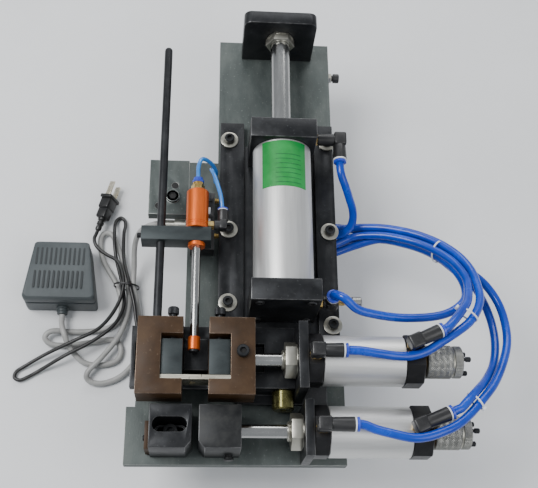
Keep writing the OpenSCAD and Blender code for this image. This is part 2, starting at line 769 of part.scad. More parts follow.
module stop_body() {
  hex_r = 6.5;
  y0 = brk_y1;
  color("orangered") difference() {
    union() {
      along_y(brk_y0, y0, stop_x, stop_z, 6);
      along_y(brk_y0 - 4, brk_y0, stop_x, stop_z, 8);
      along_y(y0, y0 + 40, stop_x, stop_z, stop_r);
    }
    along_y(brk_y0 - 5, y0 + 36, stop_x, stop_z, 4.04);
  }
  color("goldenrod") {
    translate([stop_x, y0 + 40, stop_z]) rotate([-90, 0, 0])
      cylinder(h = 9, r = hex_r, $fn = 6);
    along_x(stop_x + stop_r - 1, stop_x + stop_r + 6, y0 + 5, stop_z, 3.5);
  }
  color("black") {
    along_y(y0 + 49, y0 + 54, stop_x, stop_z, 5.5);
    along_x(stop_x + stop_r + 6, stop_x + stop_r + 18, y0 + 5, stop_z, 5);
    along_y(y0 + 5, y0 + 20, stop_x + stop_r + 13, stop_z, 5);
    along_y(y0 + 20, y0 + 23, stop_x + stop_r + 13, stop_z, 4.5);
  }
}

module stop_rod() {
  color("silver") {
    along_y(-122, brk_y1 + 10, stop_x, stop_z, 4);
    along_y(-134, -122, stop_x, stop_z, 5.5);
  }
  color("dimgray") along_y(-136, -134, stop_x, stop_z, 4.5);
}

// ---- moving jaw ----
module moving_jaw() {
  color("black") {
    difference() {
      translate([0, 0, top + 0.1]) linear_extrude(height = jaw_h - 0.1)
        polygon([[-75.6, -183], [-38.8, -183], [-38.8, -220.5], [-70, -220.5], [-75.6, -214.5]]);
      along_x(-50, -38, clamp_y, clamp_z, small_rod_r);
    }
    along_y(-225.5, -220.5, -48.7, top + 14, 4.5);
  }
}

module clamp_rod() {
  color("silver") small_rod(-50, 156, 42, clamp_y, clamp_z);
}

// ---- foot switch ----
// Outline narrower at the rear, moved inwards by inset
module pedal_plan(inset) {
  polygon([[pedal_front[0] + inset, pedal_y0 + inset], [pedal_front[1] - inset, pedal_y0 + inset],
    [pedal_rear[1] - inset, pedal_y1 - inset], [pedal_rear[0] + inset, pedal_y1 - inset]]);
}

module pedal_base() {
  color("gray") difference() {
    linear_extrude(height = 22) pedal_plan(0);
    translate([0, 0, 4]) linear_extrude(height = 20) pedal_plan(3);
    along_y(pedal_y0 - 1, pedal_y0 + 4, -220, 11, 5);
    along_x(pedal_front[0], pedal_front[1], pedal_hinge[0], pedal_hinge[1], 2);
  }
  color("black") difference() {
    union() {
      along_y(pedal_y0 - 8, pedal_y0, -220, 11, 6.5);
      along_y(pedal_y0, pedal_y0 + 8, -220, 11, 4.95);
    }
    along_y(pedal_y0 - 9, pedal_y0 + 9, -220, 11, cable_r + 0.3);
  }
  color("black") box([-240, -20, 4], [-208, -4, 20]);
}

// Sloping side view of the treadle, cut from plan outlines
module pedal_slope(rise) {
  translate([pedal_front[0] - 1, 0, 0]) rotate([90, 0, 90])
    linear_extrude(height = pedal_front[1] - pedal_front[0] + 2)
      polygon([[pedal_y0 - 1, rise], [pedal_y0 - 1, 34], [pedal_y0 + 5, 40], [pedal_y1 - 4, 32],
        [pedal_y1 + 1, 27], [pedal_y1 + 1, rise]]);
}

module pedal_treadle() {
  lug_x0 = pedal_rear[0] + 5;
  lug_x1 = pedal_rear[1] - 5;
  groove_x0 = (pedal_rear[0] + pedal_rear[1]) / 2 - 25;
  color("gray") {
    difference() {
      intersection() {
        linear_extrude(height = 60) pedal_plan(0);
        pedal_slope(25);
      }
      for (n = [0 : 10], row = [-40, -13])
        translate([groove_x0 + n * 4.8, row, 35.5]) rotate([-8, 0, 0]) cube([2, 20, 10]);
    }
    intersection() {
      linear_extrude(height = 60) pedal_plan(3.4);
      difference() {
        pedal_slope(22.4);
        pedal_slope(25.5);
      }
    }
    for (x = [lug_x0, lug_x1 - 6])
      box([x, pedal_hinge[0] - 4, 13], [x + 6, pedal_hinge[0] + 4, 23]);
    along_x(pedal_rear[0] + 1, lug_x0 + 3, pedal_hinge[0], pedal_hinge[1], 1.95);
    along_x(lug_x1 - 3, pedal_rear[1] - 1, pedal_hinge[0], pedal_hinge[1], 1.95);
  }
}

// ---- hoses, cable and cord ----
module main_hoses() {
  color("royalblue") {
    tube(main_rear_route, hose_r, 2);
    tube(main_front_route, hose_r, 2);
  }
}

module blade_hoses() {
  color("royalblue") {
    tube(blade_front_route, hose_r, 2);
    tube(blade_rear_route, hose_r, 2);
  }
}

module clamp_hoses() {
  color("royalblue") {
    tube(clamp_front_route, hose_r, 2);
    tube(clamp_rear_route, hose_r, 2);
  }
}

module stop_hoses() {
  color("dodgerblue") {
    tube(stop_rear_route, thin_hose_r, 3);
    tube(stop_side_route, thin_hose_r, 3);
  }
}

module pedal_cable() {
  color("silver") tube(pedal_cable_route, cable_r, 2);
}

module power_cord() {
  color("black") tube(power_cord_route, cord_r, 2);
}

// Two-pin plug lying on its side on the bench, its pins towards the rear
module plug() {
  translate([-189.5, 38, 12.2]) rotate([0, 0, -16]) rotate([0, 65, 0]) {
    color("black") {
      difference() {
        along_y(-2, 14, 0, 0, 4);
        along_y(-3, 2, 0, 0, cord_r + 0.4);
      }
      translate([-8, 14, -6.5]) cube([16, 22, 13]);
      translate([-10, 36, -7.25]) cube([20, 4, 14.5]);
    }
    color("silver") for (x = [-7.1, 5.6]) translate([x, 40, -3.2]) cube([1.5, 17, 6.4]);
  }
}

bottom_plate();
side_wall_left();
side_wall_right();
end_walls();
main_plate();
side_tab();
tail_plate();
gib_left();
gib_right();
gib_washers();
gib_bolts();
main_rod();
rod_nut();
valve_manifold();
solenoid_valves();
stop_valve();
air_inlet();
cable_gland();
cord_grommet();
fixed_jaw();
jaw_bolt();
clamp_bracket();
clamp_nut();
clamp_barrel();
clamp_caps();
clamp_elbows();
slide_plate();
rear_block();
front_block();
main_barrel();
head_beam();
blade_bracket();
blade_nut();
blade_barrel();
blade_caps();
carriage_elbows();
right_blade_block();
right_rack();
right_blade();
blade_rod();
left_blade_block();
left_blade();
guide_rod();
pinion();
stop_bracket();
stop_body();
stop_rod();
moving_jaw();
clamp_rod();
blade_knob();
clamp_knob();
pedal_base();
pedal_treadle();
main_hoses();
blade_hoses();
clamp_hoses();
stop_hoses();
pedal_cable();
power_cord();
plug();
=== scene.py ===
"""Looks of the pneumatic wire stripping machine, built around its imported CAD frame."""

import math

import bmesh
import bpy
from mathutils import Matrix, Vector


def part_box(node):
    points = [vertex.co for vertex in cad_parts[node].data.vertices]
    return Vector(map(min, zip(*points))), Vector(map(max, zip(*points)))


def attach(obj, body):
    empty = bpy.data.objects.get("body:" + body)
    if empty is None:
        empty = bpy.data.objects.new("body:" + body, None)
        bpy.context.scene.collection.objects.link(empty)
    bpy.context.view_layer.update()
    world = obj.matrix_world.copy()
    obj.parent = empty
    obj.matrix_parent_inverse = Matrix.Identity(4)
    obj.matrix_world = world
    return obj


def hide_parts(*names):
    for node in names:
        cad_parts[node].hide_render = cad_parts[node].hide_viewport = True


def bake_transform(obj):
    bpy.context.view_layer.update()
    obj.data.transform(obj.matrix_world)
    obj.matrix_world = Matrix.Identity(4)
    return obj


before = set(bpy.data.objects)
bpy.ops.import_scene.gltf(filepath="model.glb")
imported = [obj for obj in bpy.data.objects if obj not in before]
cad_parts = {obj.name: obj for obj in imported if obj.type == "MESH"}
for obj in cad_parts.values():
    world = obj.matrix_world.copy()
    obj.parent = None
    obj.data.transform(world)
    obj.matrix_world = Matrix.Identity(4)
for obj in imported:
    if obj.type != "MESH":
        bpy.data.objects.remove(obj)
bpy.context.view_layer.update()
MM = 0.001
X, Y, Z = (1, 0, 0), (0, 1, 0), (0, 0, 1)


# ---- points, tubes and meshes ----


def low(node):
    """Lowest corner of a CAD node, in metres."""
    return Vector(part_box(node)[0])


def high(node):
    """Highest corner of a CAD node, in metres."""
    return Vector(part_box(node)[1])


def middle(node):
    """Centre of a CAD node's box, in metres."""
    return (low(node) + high(node)) / 2


def span(node, axis):
    """Low and high end of a CAD node along axis 0, 1 or 2, in mm."""
    return low(node)[axis] / MM, high(node)[axis] / MM


def metres(points):
    return [Vector(p) * MM for p in points]


def smooth(points, steps):
    """Catmull-Rom curve through the points."""
    out = []
    for i in range(len(points) - 1):
        p0, p1 = points[max(i - 1, 0)], points[i]
        p2, p3 = points[i + 1], points[min(i + 2, len(points) - 1)]
        for k in range(steps):
            t = k / steps
            out.append(
                0.5 * (2 * p1 + t * (p2 - p0) + t * t * (2 * p0 - 5 * p1 + 4 * p2 - p3)
                       + t**3 * (3 * p1 - p0 - 3 * p2 + p3)))
    return out + [points[-1]]


def new_object(name, mesh, materials):
    obj = bpy.data.objects.new(name, mesh)
    bpy.context.scene.collection.objects.link(obj)
    for material in materials:
        mesh.materials.append(material)
    return obj


def finish_mesh(name, bm, materials, smooth_angle):
    """Turns a bmesh into an object, smooth except across edges sharper than the angle."""
    bmesh.ops.recalc_face_normals(bm, faces=bm.faces)
    limit = math.radians(smooth_angle)
    for face in bm.faces:
        face.smooth = True
    for edge in bm.edges:
        edge.smooth = len(edge.link_faces) == 2 and edge.calc_face_angle(0) < limit
    mesh = bpy.data.meshes.new(name)
    bm.to_mesh(mesh)
    bm.free()
    return new_object(name, mesh, materials)


def ring_of(bm, points):
    """A list of new vertices at points in mm."""
    return [bm.verts.new(Vector(p) * MM) for p in points]


def ring_angles(count):
    return [2 * math.pi * k / count for k in range(count)]


def join_rings(bm, rings, material=0):
    """Adds the faces between rings of vertices, each ring joined to the next one."""
    faces = []
    for ring, after in zip(rings, rings[1:]):
        for k in range(len(ring)):
            n = (k + 1) % len(ring)
            faces.append(bm.faces.new((ring[k], ring[n], after[n], after[k])))
    for face in faces:
        face.material_index = material
    return faces


def skin(bm, rings, material=0, end_material=None):
    """Adds a closed solid through rings of vertices; its last face can have its own material."""
    sides = join_rings(bm, rings, material)
    start, end = bm.faces.new(list(reversed(rings[0]))), bm.faces.new(rings[-1])
    start.material_index = material
    end.material_index = material if end_material is None else end_material
    return [start, end] + sides


def sweep(bm, path, radius, count):
    """Adds a closed round tube along a path."""
    last = len(path) - 1
    side = None
    rings = []
    for i, point in enumerate(path):
        tangent = (path[min(i + 1, last)] - path[max(i - 1, 0)]).normalized()
        if side is None:
            side = tangent.cross(Vector((0.31, 0.17, 0.93))).normalized()
        side = (side - side.dot(tangent) * tangent).normalized()
        other = tangent.cross(side)
        rings.append([bm.verts.new(point + radius * (math.cos(a) * side + math.sin(a) * other))
                      for a in ring_angles(count)])
    skin(bm, rings)


def placed_along(origin, axis):
    """Matrix that takes the local origin to a point in mm and +Z to the axis."""
    turn = Vector(axis).to_track_quat("Z", "Y").to_matrix().to_4x4()
    return Matrix.Translation(Vector(origin) * MM) @ turn


def turned(bm, profile, matrix, count, material=0, end_material=None):
    """Adds a closed solid round the matrix's Z axis. profile is (distance along the axis, radius)
    from end to end, in mm; a radius is a number or a function of the angle."""
    rings = []
    for height, radius in profile:
        rings.append([])
        for a in ring_angles(count):
            r = radius(a) if callable(radius) else radius
            spot = Vector((r * math.cos(a), r * math.sin(a), height)) * MM
            rings[-1].append(bm.verts.new(matrix @ spot))
    skin(bm, rings, material, end_material)


def lathe(bm, profile, origin, axis, count=40, material=0):
    """Adds a turned solid whose axis starts at an origin in mm."""
    turned(bm, profile, placed_along(origin, axis), count, material)


def lathe_all(bm, origin, axis, rows):
    """Adds several turned solids on one axis; rows are (profile, count, material)."""
    for profile, count, material in rows:
        lathe(bm, profile, origin, axis, count, material)


def block(bm, lo, hi, bevel, material=0, turn=None, segments=2):
    """Adds a box between two corners in mm, its edges rounded by the bevel."""
    lo, hi = Vector(lo), Vector(hi)
    verts = bmesh.ops.create_cube(bm, size=1)["verts"]
    for v in verts:
        v.co = Vector([(lo[i] + hi[i]) / 2 + v.co[i] * (hi[i] - lo[i]) for i in range(3)]) * MM
    faces = {f for v in verts for f in v.link_faces}
    edges = {e for v in verts for e in v.link_edges}
    for face in faces:
        face.material_index = material
    if turn is not None:
        bmesh.ops.transform(bm, matrix=turn, verts=verts)
    if bevel:
        bmesh.ops.bevel(bm, geom=list(edges), offset=bevel * MM, segments=segments,
                        affect="EDGES", profile=0.5, material=material)


def matrix_at(at, rows):
    """Matrix that turns by three rows and then moves to a point in mm."""
    return Matrix.Translation(Vector(at) * MM) @ Matrix(rows).to_4x4()


def standing(at, turn):
    """Matrix that turns about +Z by degrees and then moves to a point in mm."""
    return Matrix.Translation(Vector(at) * MM) @ Matrix.Rotation(math.radians(turn), 4, "Z")


def add_part(bm, part, matrix):
    """Moves a finished bmesh into another one."""
    bmesh.ops.transform(part, matrix=matrix, verts=part.verts)
    mesh = bpy.data.meshes.new("part")
    part.to_mesh(mesh)
    part.free()
    bm.from_mesh(mesh)
    bpy.data.meshes.remove(mesh)


def hexagon(angle):
    """Distance to a unit hexagon's side at this angle, relative to its corners' distance."""
    sector = math.radians(60)
    return math.cos(sector / 2) / math.cos((angle % sector) - sector / 2)


def socket(height, radius):
    """Profile rows of a hexagon socket in a head of this height, from its rim to its floor."""
    return [(h, lambda a: radius * hexagon(a)) for h in (height, height * 0.45)]


def socket_screw(bm, origin, axis, radius, height, shank=0, shank_r=0, material=0, dark=0):
    """Adds a socket head cap screw; the floor of its socket has the dark material, painted shade standing
    in for the depth of the socket.
    """
    profile = [(0, radius * 0.96), (0.4, radius), (height - 0.7, radius), (height, radius - 0.7)]
    turned(bm, profile + socket(height, radius * 0.55), placed_along(origin, axis), 36, material, dark)
    if shank:
        lathe(bm, [(-shank, shank_r - 0.3), (-shank + 0.5, shank_r), (0, shank_r)],
              origin, axis, 20, material)


def place(piece, body, node=None):
    """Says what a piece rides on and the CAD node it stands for."""
    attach(piece, body)
    if node:
        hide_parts(node)


def add_piece(name, bm, materials, body, node=None, angle=35):
    """Turns a bmesh into a piece with smooth shading up to the angle, and places it."""
    piece = finish_mesh(name, bm, materials, angle)
    place(piece, body, node)
    return piece


# ---- materials ----


def surface(name, colours, rough, metallic=0.0, grain=60.0, stretch=(1, 1, 1), rough_spread=0.08,
            bump=0.1, bump_scale=400.0, coat=0.0, spots=None, specular=0.5):
    """A procedural material. colours are the dark, middle and light tone; grain is the noise scale
    per metre, stretch draws the noise out along an axis, spots is (colour, amount) of small specks."""
    material = bpy.data.materials.new(name)
    material.use_nodes = True
    nodes, link = material.node_tree.nodes, material.node_tree.links.new
    shader = nodes["Principled BSDF"]

    def add(kind, inputs):
        node = nodes.new("ShaderNode" + kind)
        fill(node, inputs)
        return node

    def fill(node, inputs):
        for key, value in inputs.items():
            node.inputs[key].default_value = value

    fill(shader, {"Metallic": metallic, "Coat Weight": coat, "Specular IOR Level": specular})
    where = nodes.new("ShaderNodeTexCoord").outputs["Object"]
    mapping = add("Mapping", {"Scale": stretch})
    link(where, mapping.inputs["Vector"])
    noise = add("TexNoise", {"Scale": grain, "Detail": 6, "Roughness": 0.65})
    link(mapping.outputs["Vector"], noise.inputs["Vector"])
    ramp = nodes.new("ShaderNodeValToRGB")
    stops = ramp.color_ramp.elements
    stops[0].position, stops[1].position = 0.32, 0.68
    stops[0].color = (*colours[0], 1)
    stops[1].color = (*colours[2], 1)
    stops.new(0.5).color = (*colours[1], 1)
    link(noise.outputs["Fac"], ramp.inputs["Fac"])
    colour = ramp.outputs["Color"]
    if spots:
        specks = add("TexNoise", {"Scale": grain * 9, "Detail": 3})
        link(where, specks.inputs["Vector"])
        share = add("MapRange", {"From Min": 0.68 - 0.1 * spots[1], "From Max": 0.74 - 0.1 * spots[1],
                                 "To Max": 0.75})
        link(specks.outputs["Fac"], share.inputs["Value"])
        blend = nodes.new("ShaderNodeMix")
        blend.data_type = "RGBA"
        blend.inputs["B"].default_value = (*spots[0], 1)
        link(share.outputs["Result"], blend.inputs["Factor"])
        link(colour, blend.inputs["A"])
        colour = blend.outputs["Result"]
    link(colour, shader.inputs["Base Color"])
    polish = add("MapRange", {"To Min": max(rough - rough_spread, 0.02), "To Max": rough + rough_spread,
                              "From Min": 0.3, "From Max": 0.7})
    link(noise.outputs["Fac"], polish.inputs["Value"])
    link(polish.outputs["Result"], shader.inputs["Roughness"])
    if bump:
        fine = add("TexNoise", {"Scale": bump_scale, "Detail": 3})
        link(mapping.outputs["Vector"], fine.inputs["Vector"])
        relief = add("Bump", {"Strength": bump, "Distance": 0.0004})
        link(fine.outputs["Fac"], relief.inputs["Height"])
        link(relief.outputs["Normal"], shader.inputs["Normal"])
    return material


GREY_STEEL = surface(
    "phosphated_steel", [(.045, .056, .054), (.068, .082, .078), (.105, .120, .113)], 0.55, 0.35, 45,
    stretch=(1, 0.4, 1), spots=((.15, .165, .155), 0.3), bump=0.3, bump_scale=900)
WORN_GREY = surface(
    "worn_grey_edge", [(.16, .17, .165), (.26, .27, .26), (.36, .36, .34)], 0.38, 0.7, 120)
SHEET = surface(
    "painted_sheet", [(.035, .04, .042), (.045, .05, .052), (.06, .065, .067)], 0.45, 0.1, 30, bump=0.25,
    bump_scale=1500)
BLACK_STEEL = surface(
    "black_oxide_steel", [(.010, .011, .013), (.016, .017, .019), (.028, .030, .033)], 0.42, 0.55, 55,
    spots=((.06, .063, .066), 0.2), bump=0.15, bump_scale=700)
BLACK_EDGE = surface(
    "worn_black_edge", [(.035, .036, .038), (.065, .066, .068), (.12, .12, .12)], 0.34, 0.75, 150,
    bump=0.05)
BLACK_CAP = surface(
    "black_anodised", [(.008, .008, .009), (.012, .012, .013), (.02, .02, .022)], 0.4, 0.4, 80,
    bump_scale=900)
BARREL_Y, BARREL_X = (
    surface(name, [(.60, .60, .59), (.64, .64, .63), (.68, .68, .67)], 0.42, 0.85, 60, stretch=stretch,
            rough_spread=0.04, bump=0.06, bump_scale=160)
    for name, stretch in (("satin_barrel_long", (9, 0.35, 9)), ("satin_barrel_cross", (0.35, 9, 9))))
CHROME, CHROME_X = (
    surface(name, [(.36, .36, .355), (.42, .42, .41), (.50, .50, .49)], 0.2, 1.0, 70, stretch=stretch,
            rough_spread=0.04, bump=0.02, bump_scale=250)
    for name, stretch in (("hard_chrome", (1, 0.2, 1)), ("hard_chrome_cross", (0.2, 1, 1))))
ZINC = surface(
    "zinc_plate", [(.35, .34, .29), (.40, .39, .34), (.46, .45, .40)], 0.32, 0.9, 70, rough_spread=0.04,
    bump=0.03, bump_scale=500)
BLADE = surface(
    "ground_blade", [(.50, .47, .38), (.62, .59, .49), (.74, .71, .60)], 0.3, 0.9, 90, stretch=(0.3, 4, 4),
    bump_scale=300)
KNURL = surface(
    "knurled_steel", [(.24, .24, .225), (.29, .29, .27), (.35, .35, .33)], 0.34, 0.9, 120,
    rough_spread=0.04, bump=0.04, bump_scale=900)
BRONZE = surface(
    "brown_oxide", [(.030, .0150, .0058), (.043, .0215, .0085), (.060, .032, .0135)], 0.5, 0.15, 38,
    spots=((.10, .065, .04), 0.2), bump=0.12, bump_scale=600, specular=0.3)
BRONZE_EDGE = surface(
    "worn_brown_edge", [(.07, .042, .026), (.11, .075, .052), (.20, .16, .125)], 0.34, 0.7, 160, bump=0.05)
ORANGE = surface(
    "orange_anodised", [(.60, .10, .013), (.66, .125, .018), (.72, .155, .026)], 0.36, 0.7, 90,
    stretch=(5, 0.4, 5), rough_spread=0.04, bump=0.03, bump_scale=200)
BRASS = surface(
    "brass", [(.42, .27, .08), (.58, .40, .14), (.72, .54, .24)], 0.27, 0.95, 150, bump=0.06,
    bump_scale=600)
BLACK_PLASTIC = surface(
    "black_plastic", [(.008, .008, .009), (.012, .012, .013), (.018, .018, .019)], 0.38, 0.0, 70,
    bump=0.12, bump_scale=1400, coat=0.05)
BLUE_RING = surface(
    "blue_release_ring", [(.012, .035, .34), (.02, .055, .48), (.035, .085, .62)], 0.3, 0.0, 120,
    bump=0.06, coat=0.2)
BLUE_HOSE = surface(
    "blue_hose", [(.002, .030, .30), (.003, .043, .40), (.006, .065, .50)], 0.25, 0.0, 30,
    rough_spread=0.05, bump=0.04, bump_scale=200, coat=0.25, specular=0.35)
THIN_HOSE = surface(
    "light_blue_hose", [(.02, .14, .46), (.035, .20, .58), (.06, .28, .70)], 0.22, 0.0, 40,
    rough_spread=0.05, bump=0.04, bump_scale=200, coat=0.4)
WHITE = surface(
    "white_nylon", [(.58, .60, .62), (.70, .72, .74), (.80, .82, .83)], 0.4, 0.0, 90, bump=0.05)
GREEN = surface(
    "green_label", [(.002, .185, .028), (.004, .23, .038), (.006, .275, .05)], 0.34, 0.0, 50,
    rough_spread=0.06, bump=0.05, bump_scale=300, coat=0.15)
LABEL_INK = surface(
    "label_ink", [(.004, .05, .02), (.006, .065, .025), (.01, .08, .03)], 0.4, 0.0, 200, bump=0.0)
PEDAL = surface(
    "grey_pedal_plastic", [(.042, .052, .055), (.052, .063, .067), (.066, .078, .082)], 0.46, 0.0, 26,
    bump=0.3, bump_scale=1800)
# Painted shade for the treadle's grip grooves, laid on the face in place of cut grooves.
PAINTED_GROOVE_SHADE = surface(
    "pedal_groove_shade", [(.012, .016, .018), (.017, .022, .024), (.024, .030, .033)], 0.6, 0.0, 40)
GREY_CABLE = surface(
    "grey_cable_sheath", [(.27, .27, .26), (.33, .33, .32), (.40, .40, .385)], 0.4, 0.0, 35,
    bump_scale=260)
BLACK_CORD = surface(
    "black_cord_sheath", [(.007, .007, .008), (.012, .012, .012), (.02, .02, .02)], 0.36, 0.0, 60,
    bump=0.08, bump_scale=300)
NICKEL = surface(
    "plug_pin", [(.55, .50, .38), (.68, .63, .50), (.80, .76, .64)], 0.3, 0.85, 120, bump=0.05)
GLAND = surface(
    "gland_grey", [(.24, .24, .21), (.32, .32, .285), (.42, .42, .38)], 0.36, 0.5, 70, bump=0.08)
# Painted shade: near-black colour laid on socket floors and on discs standing for holes, where only shade
# falls.
RECESS_SHADE = surface(
    "painted_recess_shade", [(.003, .003, .003), (.005, .005, .005), (.008, .008, .008)], 0.7, 0.0, 90)
BLUED = surface(
    "blued_steel", [(.024, .030, .032), (.032, .040, .042), (.044, .053, .055)], 0.5, 0.6, 50,
    stretch=(1, 2, 1), rough_spread=0.05, bump=0.06)
BLACK_JAW = surface(
    "black_jaw_steel", [(.016, .017, .018), (.024, .025, .026), (.038, .039, .038)], 0.5, 0.7, 90,
    bump=0.12)
OLIVE = surface(
    "olive_brass", [(.09, .085, .027), (.135, .125, .045), (.20, .19, .075)], 0.25, 0.8, 90, bump=0.05)


# ---- camera ----

CAMERA_AT = Vector((-74.3, -361.7, 909.8)) * MM
CAMERA_TURN = math.radians(10.33)
CAMERA_DOWN = math.radians(66.34)
CAMERA_ROLL = math.radians(10.80)
CAMERA_LENS = 59.96


def make_camera():
    """Camera at the viewing angle: turned from +Y, tilted down, and rolled."""
    ahead = Vector((math.sin(CAMERA_TURN) * math.cos(CAMERA_DOWN),
                    math.cos(CAMERA_TURN) * math.cos(CAMERA_DOWN), -math.sin(CAMERA_DOWN)))
    right = ahead.cross(Vector((0, 0, 1))).normalized()
    up = right.cross(ahead)
    side = math.cos(CAMERA_ROLL) * right + math.sin(CAMERA_ROLL) * up
    above = -math.sin(CAMERA_ROLL) * right + math.cos(CAMERA_ROLL) * up
    data = bpy.data.cameras.new("camera")
    data.lens = CAMERA_LENS
    data.sensor_width = 36
    data.clip_start = 0.01
    data.clip_end = 20
    camera = bpy.data.objects.new("camera", data)
    bpy.context.scene.collection.objects.link(camera)
    turn = Matrix((side, above, -ahead)).transposed().to_4x4()
    camera.matrix_world = Matrix.Translation(CAMERA_AT) @ turn
    bpy.context.scene.camera = camera


make_camera()


# ---- cable, cord and hoses ----

# Routes listed point by point, in mm, as in the CAD source
MAIN_REAR_ROUTE = [
    (54, 7.5, 75), (62, 8.5, 78), (70, 10.5, 85), (74.5, 16, 93), (74, 24, 103), (69, 33, 114),
    (64, 41, 124), (59.5, 49, 131), (58, 57, 133), (58, 64, 133),
]
MAIN_FRONT_ROUTE = [
    (54, -9, 66), (78, 0, 68.5), (105, 5.5, 76), (125, -1.5, 85), (142, -11, 94), (156.5, -23, 103),
    (167, -37.5, 112), (172.5, -53, 121), (173, -69, 130), (167.5, -83, 138), (153, -94.5, 141),
    (133.5, -100, 142), (105.5, -101.5, 143), (80.5, -100.5, 149), (64, -98, 155), (53, -91, 161.5),
    (46.5, -86.5, 159), (44, -84, 153), (44, -84, 147),
]
BLADE_FRONT_ROUTE = [
    (54, 16, 72), (78, 18, 76), (104, 15, 84.5), (125.5, 8, 93.5), (144, -1.5, 102), (160, -14, 111),
    (173, -29.5, 120), (180.5, -47, 129), (182, -64.5, 138), (181, -81, 146), (175.5, -95, 153),
    (165, -109.5, 160), (151, -121, 165), (135, -131.5, 167.5), (120.5, -140.5, 168), (106, -145, 169),
    (93, -145.5, 170.5), (80, -144.5, 172.5), (64, -142.5, 173.5), (56, -142, 173.5), (49, -142, 173.5),
]
BLADE_REAR_ROUTE = [
    (54, -3, 72), (78, 8, 75), (102, 6.5, 84.5), (121.5, 0, 93.5), (139, -9, 102), (153.5, -20.5, 111),
    (165, -34, 120), (171.5, -49, 129), (173, -64.5, 138), (167, -86.5, 153), (157.5, -100.5, 163),
    (147, -113, 171), (140, -120, 173.5), (134.5, -122.5, 173.5),
]
CLAMP_FRONT_ROUTE = [
    (54, 24, 64), (78, 20.5, 67), (107.5, 14.5, 76), (128.5, 6.5, 85), (147, -3.5, 94), (163, -17, 103),
    (175, -33, 112), (185.5, -44, 114), (199, -57.5, 114), (209, -75.5, 114), (212, -97, 118),
    (209.5, -118.5, 124), (200.5, -140, 132), (188, -160.5, 141), (174.5, -176, 148),
    (159, -191.5, 153), (145.5, -202, 157), (132, -208.5, 159.5), (118, -213, 160.5),
    (105, -214, 160.5), (90, -211, 160), (75, -207, 159), (65, -203, 158.5), (58, -202.5, 158.5),
]
CLAMP_REAR_ROUTE = [
    (54, 4, 56), (78, 11, 59), (109, 9, 67.5), (130, 1, 76.5), (147.5, -9.5, 86), (162, -23, 95),
    (173, -38.5, 104), (183.5, -44, 103), (193.5, -53, 97), (200.5, -75.5, 102), (203, -98, 108),
    (200.5, -120, 116), (193.5, -140, 125), (182, -156.5, 136), (169, -169.5, 148),
    (157.5, -180.5, 156), (151, -187, 158), (146, -189.5, 158.5), (140, -192, 158.5),
]
STOP_REAR_ROUTE = [
    (-81.5, 37, 140), (-81.5, 50, 140), (-78, 60, 137), (-70, 62, 126), (-64.5, 60, 113),
    (-64.5, 59, 102),
]
STOP_SIDE_ROUTE = [
    (-58, 6, 140), (-60, 20, 141), (-66, 42, 138), (-69, 52, 130), (-66, 54, 117), (-64.5, 53, 102),
]
PEDAL_CABLE_ROUTE = [
    (-111, 18, 73), (-126, 18, 73), (-140, 16, 59), (-147, 10, 36), (-148, -8, 18), (-148, -26, 12),
    (-143, -50, 8), (-138, -80, 4), (-142, -104, 3.3), (-156, -122, 3.3), (-174, -130, 3.3),
    (-188, -128, 4), (-190, -120, 8), (-176, -104, 10), (-160, -80, 9), (-153, -52, 6), (-154, -26, 5),
    (-161, 2, 3.3), (-170, 26, 3.3), (-176, 36, 4), (-184, 36, 4), (-187, 26, 3.3), (-182, 4, 3.3),
    (-166, -24, 3.3), (-160, -48, 3.3), (-165, -66, 3.3), (-184, -74, 3.3), (-210, -76, 4),
    (-225, -76.5, 8.5), (-232.5, -78.5, 9), (-236, -83.5, 8), (-232.5, -88.5, 6), (-225, -90.5, 4),
    (-208, -90, 3.3), (-184, -86, 3.3), (-166, -84, 3.3), (-158, -94, 3.3), (-162, -106, 3.3),
    (-178, -111, 3.3), (-196, -108, 3.3), (-210, -94, 8), (-216, -81, 13.5), (-219.5, -70, 12),
    (-220, -62, 11), (-220, -52, 11),
]
POWER_CORD_ROUTE = [
    (-90.5, -125, 22), (-98, -125, 20), (-106, -124, 12), (-122, -116, 4), (-134, -98, 8),
    (-142, -72, 14), (-146, -48, 15), (-152, -26, 16), (-160, 4, 9), (-162, 34, 7), (-161, 46, 4),
    (-162.2, 53, 2.5), (-166.5, 56.5, 2.5), (-171, 53, 3), (-172.3, 46, 6), (-172, 37, 9.5),
    (-171, 22, 11), (-168, 4, 10), (-160, -26, 11), (-157, -50, 13), (-166, -72, 16), (-188, -90, 15),
    (-214, -104, 12), (-240, -118, 3), (-251, -124.5, 2.5), (-258, -127.5, 2.5), (-263.5, -125, 2.5),
    (-262.5, -119, 2.5), (-255, -113.5, 3), (-232, -101, 9), (-206, -90, 17), (-180, -76, 19),
    (-164, -52, 17), (-158, -26, 18), (-165, -2, 16), (-178, 8, 13), (-186, 14, 12), (-191, 20, 12),
    (-192.8, 26.5, 12.2), (-191.2, 32.2, 12.2), (-189.6, 37.5, 12.2),
]

CABLE_R = 2.9
CORD_R = 1.9
HOSE_R = 4.0
THIN_R = 2.0


def hose(name, route, radius, material, count=20):
    """A smooth round tube along a route, as one mesh, with the points it follows."""
    path = smooth(metres(route), 8)
    bm = bmesh.new()
    sweep(bm, path, radius * MM, count)
    return finish_mesh(name, bm, [material], 60), path


def make_pedal_cable():
    cable, path = hose("pedal_cable_sheath", PEDAL_CABLE_ROUTE, CABLE_R, GREY_CABLE, 18)
    place(cable, "base", "pedal_cable")


